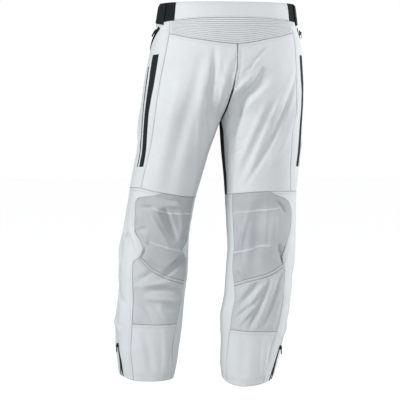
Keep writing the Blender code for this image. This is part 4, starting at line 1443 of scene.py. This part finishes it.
SEAT = ("yoke_seam", "crotch")
THIGH = ("crotch", "knee_seam")
SHIN = (("knee_seam", "calf_seam"), ("calf_seam", "vent_top"), ("vent_top", "hem"))
GUSSET_START = 0.484
BAND_LENGTHS = {"waist_seam": 0.05, "yoke_seam": 0.21, "crotch": 0.20, "knee_seam": 0.23,
                "strip_top": 0.008, "strip_bottom": 0.13, "calf_seam": 0.06, "vent_top": 0.09}
PANELS = (
    Panel("seat", (SEAT, THIGH), "gusset_back", "side_back", 0.13, CLOTH_WALL, "shell", "shell_cloth"),
    Panel("side_thigh", (("waist_seam", "yoke_seam"), SEAT, THIGH), "side_back", "side_front", 0.14,
          CLOTH_WALL, "shell", "shell_cloth"),
    Panel("front_thigh", (("waist_seam", "yoke_seam"), SEAT, THIGH), "side_front", "gusset_front",
          0.13, CLOTH_WALL, "shell", "shell_cloth"),
    Panel("inner_thigh_back", (SEAT, THIGH), "centre_back", "gusset_back", 0.02, CLOTH_WALL,
          "black", "black_cloth", GUSSET_START),
    Panel("inner_thigh_front", (SEAT, THIGH), "gusset_front", "centre_front", 0.04, CLOTH_WALL,
          "black", "black_cloth", GUSSET_START),
    Panel("knee_back", (("knee_seam", "strip_top"),), "mesh_inner", "mesh_outer", 0.16, MESH_WALL,
          "mesh", "mesh_cloth"),
    Panel("calf_strip", (("strip_top", "strip_bottom"),), "mesh_inner", "mesh_outer", 0.16,
          CLOTH_WALL, "strip", "shell_cloth"),
    Panel("calf_mesh", (("strip_bottom", "calf_seam"),), "mesh_inner", "mesh_outer", 0.15,
          MESH_WALL, "calf_mesh", "mesh_cloth"),
    Panel("calf_hem", (("calf_seam", "vent_top"), ("vent_top", "hem")), "mesh_inner", "mesh_outer",
          0.13, CLOTH_WALL, "hem", "shell_cloth"),
    Panel("shin_side_back", SHIN, "mesh_outer", "outseam", 0.05, CLOTH_WALL, "hem", "shell_cloth"),
    Panel("shin_side_front", SHIN, "outseam", "shin_front", 0.10, CLOTH_WALL, "hem", "shell_cloth"),
    Panel("shin_front", SHIN, "shin_front", "inner_front", 0.14, CLOTH_WALL, "hem", "shell_cloth"),
    Panel("shin_inner", SHIN, "inner_front", "mesh_inner", 0.11, CLOTH_WALL, "hem", "shell_cloth"),
)


@dataclass
class LegPanels:
    """All the flat-cut panels of one leg."""

    side: Side
    ridge_half: float = 0.0024
    ridge_height: float = 0.0016
    ridge_fade: float = 0.01
    piping_half: float = 0.0018
    piping_offset: float = 0.0022
    piping_height: float = 0.0012
    narrow_width: float = 0.03
    narrow_cell: float = 0.003
    strip_cell: float = 0.0010
    shin_length: float = 0.35

    def build(self) -> None:
        """Make every panel of the leg."""
        for panel in PANELS:
            self.build_panel(panel)

    def build_panel(self, panel: Panel) -> None:
        """Make one panel.

        Args:
            panel: The panel.
        """
        lap = 1.0 if panel.second == "inner_front" else 0.0
        edges = (CLOTH.edge(self.side, panel.first, 1.0), CLOTH.edge(self.side, panel.second, -1.0, lap))
        across = shares(panel.width, CELL if panel.width > self.narrow_width else self.narrow_cell)
        turns, heights = [], []
        for index, (top, foot) in enumerate(panel.seams):
            length = BAND_LENGTHS[top] if (top, foot) != SHIN[0] else self.shin_length
            down = shares(length, self.strip_cell if top == "strip_top" else CELL)
            if index > 0:
                down = down[1:]
            elif panel.first_share:
                down = panel.first_share + (1.0 - panel.first_share) * down
            turn, height = CLOTH.ruled(self.side, edges, (top, foot), down, across)
            turns.append(turn)
            heights.append(height)
        turns = np.concatenate(turns)
        heights = np.concatenate(heights)
        heights[0] -= 0.5 * SEAM_GAP
        heights[-1] += 0.5 * SEAM_GAP
        relief, ridge = self.panel_relief(panel, turns, heights)
        name = f"{panel.name}_{self.side.value}"
        Sheet(name, self.side, turns, heights, panel.wall, panel.finish, panel.slot,
              relief=relief, ridge=ridge).build()

    def panel_relief(self, panel: Panel, turns: np.ndarray,
                     heights: np.ndarray) -> tuple[np.ndarray, np.ndarray]:
        """Sewn ridges of the knee mesh and the piping of the calf strip.

        Args:
            panel: The panel.
            turns: Turns of its points.
            heights: Heights of its points.

        Returns:
            The relief in metres and the share of ridge, 0 to 1, at each point.
        """
        share = np.zeros_like(turns)
        if panel.name == "knee_back":
            for line in KNEE_RIDGES[self.side]:
                xs = np.array([spot[0] for spot in line])[::-1]
                ys = np.array([spot[1] for spot in line])[::-1]
                away = np.abs(heights - np.interp(turns, xs, ys))
                within = np.clip((xs[-1] - turns) * GIRTH / self.ridge_fade, 0.0, 1.0)
                share = np.maximum(share, within * np.clip(1.0 - (away / self.ridge_half) ** 2, 0.0, 1.0))
            return self.ridge_height * share, share
        if panel.name == "calf_strip":
            middle = CLOTH.seam_height(self.side, "strip", turns)
            for offset in (-self.piping_offset, self.piping_offset):
                away = np.abs(heights - middle - offset)
                rounded = np.sqrt(np.clip(1.0 - (away / self.piping_half) ** 2, 0.0, 1.0))
                share = np.maximum(share, rounded)
            return self.piping_height * share, share
        return 0.0 * share, share


@dataclass
class BackYoke:
    """The elastic back yoke: stitched channels that gather the cloth into ribs."""

    ribs: int = 12
    rib_height: float = 0.0017
    rows_per_rib: int = 7
    width: float = 0.36
    cell: float = 0.0028
    gather_height: float = 0.0007
    gather_scale: tuple[float, float] = (130.0, 1.3)
    end_share: float = 0.03

    def build(self) -> None:
        """Make the yoke."""
        right = CLOTH.edge(Side.RIGHT, "side_back", -1.0)
        left = CLOTH.edge(Side.LEFT, "side_back", -1.0)
        down = np.linspace(0.0, 1.0, self.ribs * self.rows_per_rib + 1)
        across = shares(self.width, self.cell)
        edges = (lambda height: 2.0 * BACK_TURN - right(height), left)
        turns, heights = CLOTH.ruled(Side.BOTH, edges, ("waist_seam", "yoke_seam"), down, across)
        heights[0] -= 0.5 * SEAM_GAP
        heights[-1] += 0.5 * SEAM_GAP
        phase = (down * self.ribs) % 1.0
        rib = np.sqrt(np.clip(1.0 - (2.0 * phase - 1.0) ** 2, 0.0, 1.0))[:, None]
        along, rise = self.gather_scale
        spots = np.stack(np.broadcast_arrays(turns * along, down[:, None] * self.ribs * rise), axis=-1)
        gather = np.array([noise.noise(Vector((x, y, 0.0))) for x, y in spots.reshape(-1, 2)])
        gather = gather.reshape(turns.shape)
        end = np.clip(np.minimum(across, 1.0 - across) / self.end_share, 0.0, 1.0)[None, :]
        relief = (self.rib_height * rib + self.gather_height * gather * rib) * end
        # Ridge share: low in the rib channels, where the finish paints shade.
        ridge = 1.0 - (1.0 - rib + 0.0 * turns) * end
        Sheet("yoke_back", Side.BOTH, turns, heights, CLOTH_WALL, "yoke", "shell_cloth",
              relief=relief, ridge=ridge, held="gathered").build()


@dataclass
class Waistband:
    """The waistband: a back piece, two black elastic sides and two front pieces."""

    cell: float = 0.0040
    length: float = 0.045
    elastic_cell: float = 0.0018
    elastic_waves: float = 0.0007
    elastic_pitch: float = 0.0075

    def build(self) -> None:
        """Make the five pieces."""
        right = CLOTH.edge(Side.RIGHT, "waist_side_back", -1.0)
        left = CLOTH.edge(Side.LEFT, "waist_side_back", -1.0)
        edges = (lambda height: 2.0 * BACK_TURN - right(height), left)
        self.piece("waistband_back", Side.BOTH, edges, 0.36, "band", "shell_cloth")
        for side in (Side.LEFT, Side.RIGHT):
            edges = (CLOTH.edge(side, "waist_side_back", 1.0), CLOTH.edge(side, "waist_side_front", -1.0))
            self.piece(f"waist_side_{side.value}", side, edges, 0.09, "webbing", "black_cloth")
            edges = (CLOTH.edge(side, "waist_side_front", 1.0), CLOTH.edge(side, "centre_front", -1.0))
            self.piece(f"waistband_front_{side.value}", side, edges, 0.16, "band", "shell_cloth")

    def piece(self, name: str, side: Side, edges: tuple[Edge, Edge], width: float,
              finish: str, slot: str) -> None:
        """Make one piece of the waistband.

        Args:
            name: Name of its CAD node.
            side: The leg, or BOTH for a piece across the middle.
            edges: Its first and second edge.
            width: About its width in metres.
            finish: Its finish.
            slot: Its slot.
        """
        across = shares(width, self.elastic_cell if finish == "webbing" else self.cell)
        down = shares(self.length, self.cell)
        turns, heights = CLOTH.ruled(side, edges, ("waist_top", "waist_seam"), down, across)
        heights[0] -= 0.5 * SEAM_GAP
        heights[-1] += 0.5 * SEAM_GAP
        relief = np.zeros_like(turns)
        if finish == "webbing":
            relief = self.elastic_waves * np.sin(turns * GIRTH * 2.0 * math.pi / self.elastic_pitch)
        Sheet(name, side, turns, heights, WEBBING_WALL, finish, slot, relief=relief,
              held="stretched").build()


class Patch(NamedTuple):
    """A piece that lies on the panels, between two turns, with its corners' heights."""

    turn_a: float
    turn_b: float
    top_a: float
    top_b: float
    foot_a: float
    foot_b: float


@dataclass
class WaistFastenings:
    """Adjuster tabs, fly and waist tab, sewn on top of the panels."""

    adjuster: Patch = Patch(0.437, 0.580, 0.019, 0.012, -0.038, -0.022)
    fly: Patch = Patch(0.7075, 0.7495, -0.026, -0.024, -0.175, -0.195)
    tab: Patch = Patch(0.7125, 0.7725, 0.020, 0.020, -0.020, -0.020)
    cell: float = 0.003
    webbing_cell: float = 0.0022
    groove: float = 0.0004

    def build(self) -> None:
        """Make the pieces."""
        for side in (Side.LEFT, Side.RIGHT):
            self.patch(f"adjuster_tab_{side.value}", side, self.adjuster, WEBBING_WALL,
                       "webbing", "black_cloth", self.webbing_cell)
        self.patch("fly", Side.LEFT, self.fly, CLOTH_WALL, "shell", "shell_cloth", self.cell)
        self.patch("waist_tab", Side.BOTH, self.tab, CLOTH_WALL, "band", "shell_cloth", self.cell)

    def patch(self, name: str, side: Side, patch: Patch, wall: float, finish: str, slot: str,
              cell: float) -> None:
        """Make one lying piece.

        Args:
            name: Name of its CAD node.
            side: The leg, or BOTH for a piece across the middle.
            patch: Where it lies.
            wall: Its thickness.
            finish: Its finish.
            slot: Its slot.
            cell: Distance between its points.
        """
        across = shares((patch.turn_b - patch.turn_a) * GIRTH, cell)[None, :]
        down = shares(patch.top_a - patch.foot_a, cell)[:, None]
        top = patch.top_a + (patch.top_b - patch.top_a) * across
        foot = patch.foot_a + (patch.foot_b - patch.foot_a) * across
        heights = top + (foot - top) * down
        turns = patch.turn_a + (patch.turn_b - patch.turn_a) * across
        turns = turns + BACK_TURN - CLOTH.middle_turn(heights)
        Sheet(name, side, turns, heights, wall, finish, slot, lift=LYING_GAP + wall,
              groove=self.groove, held="laid").build()


@dataclass
class ZipTeeth:
    """Rows of moulded zip teeth, one small bevelled block each."""

    width: float = 0.0022
    length: float = 0.0012
    thickness: float = 0.0018
    pitch: float = 0.0023
    start: float = 0.002
    end: float = 0.001
    ahead: float = 0.002

    def row(self, form: bmesh.types.BMesh, side: Side, turns: np.ndarray, heights: np.ndarray,
            lift: float) -> None:
        """Set teeth along one line of places.

        Args:
            form: The mesh they are added to.
            side: The leg.
            turns: Turns along the line.
            heights: Heights along the line.
            lift: How far out from the surface their middles lie.
        """
        points = CLOTH.place(side, turns, heights, lift)
        away = CLOTH.outward(side, turns, heights)
        run = np.concatenate([[0.0], np.cumsum(np.linalg.norm(np.diff(points, axis=0), axis=-1))])
        size = Matrix.Diagonal((self.width, self.length, self.thickness, 1.0))
        for spot in np.arange(self.start, run[-1] - self.end, self.pitch):
            centre = Vector([float(np.interp(spot, run, points[:, axis])) for axis in range(3)])
            ahead = Vector([float(np.interp(spot + self.ahead, run, points[:, axis])) for axis in range(3)])
            out = Vector([float(np.interp(spot, run, away[:, axis])) for axis in range(3)])
            up = (centre - ahead).normalized() if ahead != centre else Vector((0.0, 0.0, 1.0))
            out = (out - up * out.dot(up)).normalized()
            turned = Matrix((up.cross(out), up, out)).transposed().to_4x4()
            turned.translation = centre
            bmesh.ops.create_cube(form, size=1.0, matrix=turned @ size)

    def finish(self, form: bmesh.types.BMesh, name: str) -> None:
        """Turn a mesh of teeth into a settled piece.

        Args:
            form: The mesh of teeth.
            name: The piece's name.
        """
        bmesh.ops.recalc_face_normals(form, faces=form.faces)
        piece = new_piece(form, name)
        piece.data.materials.append(ink("enamel"))
        settle(piece, BODY, ())


@dataclass
class AnkleVent:
    """The open zip of one ankle: a tape on each edge, with its teeth."""

    side: Side
    rows: int = 24
    columns: int = 4
    teeth: ZipTeeth = field(default_factory=ZipTeeth)

    def build(self) -> None:
        """Make both tapes and both rows of teeth."""
        form = bmesh.new()
        for name, sign in (("ankle_tape_back", -1.0), ("ankle_tape_front", 1.0)):
            edges = (self.tape_edge(sign, True), self.tape_edge(sign, False))
            edges = edges if sign < 0.0 else edges[::-1]
            down = np.linspace(0.0, 1.0, self.rows)
            across = np.linspace(0.0, 1.0, self.columns)
            turns, heights = CLOTH.ruled(self.side, edges, ("vent_top", "hem"), down, across)
            Sheet(f"{name}_{self.side.value}", self.side, turns, heights, TAPE_WALL, "tape", "zip_tape",
                  groove=0.0).build()
            column = -1 if sign < 0.0 else 0
            self.teeth.row(form, self.side, turns[2:, column], heights[2:, column], 0.0)
        self.teeth.finish(form, f"ankle_teeth_{self.side.value}")

    def tape_edge(self, sign: float, sewn: bool) -> Edge:
        """The sewn or the free edge of one tape, as a function from height to turn.

        Args:
            sign: -1 for the rear tape, 1 for the front one.
            sewn: Whether it is the sewn edge.

        Returns:
            A function from height to turn.
        """

        def turn_at(height: np.ndarray) -> np.ndarray:
            """Turn of the tape's edge at a height.

            Args:
                height: The heights.

            Returns:
                A turn for each height.
            """
            half = CLOTH.vent_half_gap(self.side, height)
            width = 0.0 if sewn else np.minimum(TAPE_WIDTH, 0.75 * (half - SEAM_GAP))
            return CLOTH.seam_turn(self.side, "outseam", height) + sign * (half - SEAM_GAP - width) / GIRTH

        return turn_at


@dataclass
class HandPocket:
    """The closed zip of one hand pocket, lying on the side panel."""

    side: Side
    top: tuple[float, float] = (0.461, -0.044)
    foot: tuple[float, float] = (0.606, -0.157)
    half_width: float = 0.0052
    slider_share: float = 0.10
    rows: int = 54
    columns: int = 7
    teeth_spots: int = 80
    teeth_offset: float = 0.0009
    teeth_stagger: float = 0.005
    teeth_rise: float = 0.0003
    teeth: ZipTeeth = field(default_factory=lambda: ZipTeeth(0.0019, 0.0009, 0.0013, 0.0016))

    def spot(self, share: np.ndarray, offset: np.ndarray) -> tuple[np.ndarray, np.ndarray]:
        """Turn and height along the zip, `offset` metres to its front.

        Args:
            share: Shares of the way along the zip.
            offset: Metres to its front.

        Returns:
            The turns and the heights.
        """
        turn = self.top[0] + (self.foot[0] - self.top[0]) * share
        height = self.top[1] + (self.foot[1] - self.top[1]) * share
        run_x = (self.foot[0] - self.top[0]) * GIRTH
        run_y = self.foot[1] - self.top[1]
        length = math.hypot(run_x, run_y)
        return turn - offset * run_y / length / GIRTH, height + offset * run_x / length

    def build(self) -> None:
        """Make the tape and the teeth."""
        down = np.linspace(0.0, 1.0, self.rows)
        across = np.linspace(-self.half_width, self.half_width, self.columns)
        turns, heights = self.spot(*np.meshgrid(down, across, indexing="ij"))
        Sheet(f"pocket_tape_{self.side.value}", self.side, turns, heights, TAPE_WALL, "tape", "zip_tape",
              lift=LYING_GAP + TAPE_WALL, groove=0.0003, held="laid").build()
        form = bmesh.new()
        for offset in (-self.teeth_offset, self.teeth_offset):
            shift = 0.0 if offset < 0.0 else self.teeth_stagger
            share = np.linspace(self.slider_share + 0.02 + shift, 0.98, self.teeth_spots)
            turns, heights = self.spot(share, np.full_like(share, offset))
            self.teeth.row(form, self.side, turns, heights, LYING_GAP + TAPE_WALL + self.teeth_rise)
        self.teeth.finish(form, f"pocket_teeth_{self.side.value}")


@dataclass
class Hardware:
    """Sliders, pull tabs and the snap, which keep their CAD shapes."""

    names: tuple[str, ...] = ("ankle_slider", "ankle_pull", "pocket_slider", "pocket_pull")

    def build(self) -> None:
        """Give each its enamel."""
        nodes = ["waist_snap"]
        for name in self.names:
            nodes += [f"{name}_left", f"{name}_right"]
        for name in nodes:
            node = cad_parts[name]
            node.data.materials.clear()
            node.data.materials.append(ink("enamel"))
            LOG.info("%s: enamelled", name)


# ================================================================== studio
class Lamp(NamedTuple):
    """A soft square light: where it stands, its width in metres and its power in watts."""

    name: str
    spot: tuple[float, float, float]
    size: float
    power: float


@dataclass
class Studio:
    """Camera, lights and floor."""

    turn: float = math.radians(8.0)
    distance: float = 4.58
    camera_height: float = -0.318
    target: tuple[float, float, float] = (0.0735, -0.0103, -0.513)
    lens: float = 150.0
    floor_height: float = -1.05
    floor_size: float = 40.0
    ambient: float = 0.27
    ambient_colour: tuple[float, float, float, float] = (0.94, 0.98, 1.0, 1.0)
    lamps: tuple[Lamp, ...] = (
        Lamp("left", (3.3, 1.6, 1.0), 1.2, 88.0),
        Lamp("right", (-3.3, -0.1, 0.6), 1.2, 76.0),
        Lamp("back", (-0.8, 4.2, 1.4), 1.2, 58.0),
        Lamp("front", (-1.4, -3.6, 1.0), 1.6, 70.0),
    )

    def build(self) -> None:
        """Make the camera, the lights, the world and the floor."""
        self.add_camera()
        for lamp in self.lamps:
            self.add_light(lamp)
        self.add_world()
        bpy.context.scene.view_settings.view_transform = "Standard"
        floor = bmesh.new()
        place = Matrix.Translation((0.0, 0.0, self.floor_height))
        bmesh.ops.create_grid(floor, x_segments=2, y_segments=2, size=0.5 * self.floor_size, matrix=place)
        piece = new_piece(floor, "floor")
        piece.data.materials.append(ink("floor"))

    def add_world(self) -> None:
        """A white surround that lights the garment softly."""
        world = bpy.data.worlds.new("studio")
        world.use_nodes = True
        graph = Graph(world.node_tree)
        soft = graph.tree.nodes["Background"]
        graph.feed(soft, {0: self.ambient_colour, 1: self.ambient})
        seen = graph.node("ShaderNodeBackground", {}, {0: (1.0, 1.0, 1.0, 1.0), 1: 1.0})
        path = graph.node("ShaderNodeLightPath", {}, {})
        parts = {0: path.outputs["Is Camera Ray"], 1: soft.outputs[0], 2: seen.outputs[0]}
        mix = graph.node("ShaderNodeMixShader", {}, parts)
        graph.feed(graph.tree.nodes["World Output"], {0: mix.outputs[0]})
        bpy.context.scene.world = world

    def add_camera(self) -> None:
        """Set the camera where the photograph was taken from."""
        target = Vector(self.target)
        rise = math.asin((self.camera_height - target.z) / self.distance)
        back = Vector((math.sin(self.turn) * math.cos(rise), math.cos(self.turn) * math.cos(rise),
                       math.sin(rise)))
        lens = bpy.data.cameras.new("camera")
        lens.lens = self.lens
        lens.sensor_width = 36.0
        lens.dof.use_dof = False
        camera = bpy.data.objects.new("camera", lens)
        camera.location = target + self.distance * back
        camera.rotation_euler = back.to_track_quat("Z", "Y").to_euler()
        bpy.context.scene.collection.objects.link(camera)
        bpy.context.scene.camera = camera

    def add_light(self, lamp: Lamp) -> None:
        """Add one soft light that looks at the garment's middle.

        Args:
            lamp: The light.
        """
        light = bpy.data.lights.new(lamp.name, "AREA")
        light.size = lamp.size
        light.energy = lamp.power
        stand = bpy.data.objects.new(lamp.name, light)
        stand.location = lamp.spot
        aim = Vector(lamp.spot) - Vector(self.target)
        stand.rotation_euler = aim.to_track_quat("Z", "Y").to_euler()
        bpy.context.scene.collection.objects.link(stand)


def main() -> None:
    """Build the dressed garment and its studio, in order."""
    logging.basicConfig(level=logging.INFO, format="%(name)s %(message)s")
    Studio().build()
    for side in (Side.LEFT, Side.RIGHT):
        LegPanels(side).build()
    BackYoke().build()
    Waistband().build()
    WaistFastenings().build()
    for side in (Side.LEFT, Side.RIGHT):
        AnkleVent(side).build()
        HandPocket(side).build()
    Hardware().build()


if __name__ == "__main__":
    main()
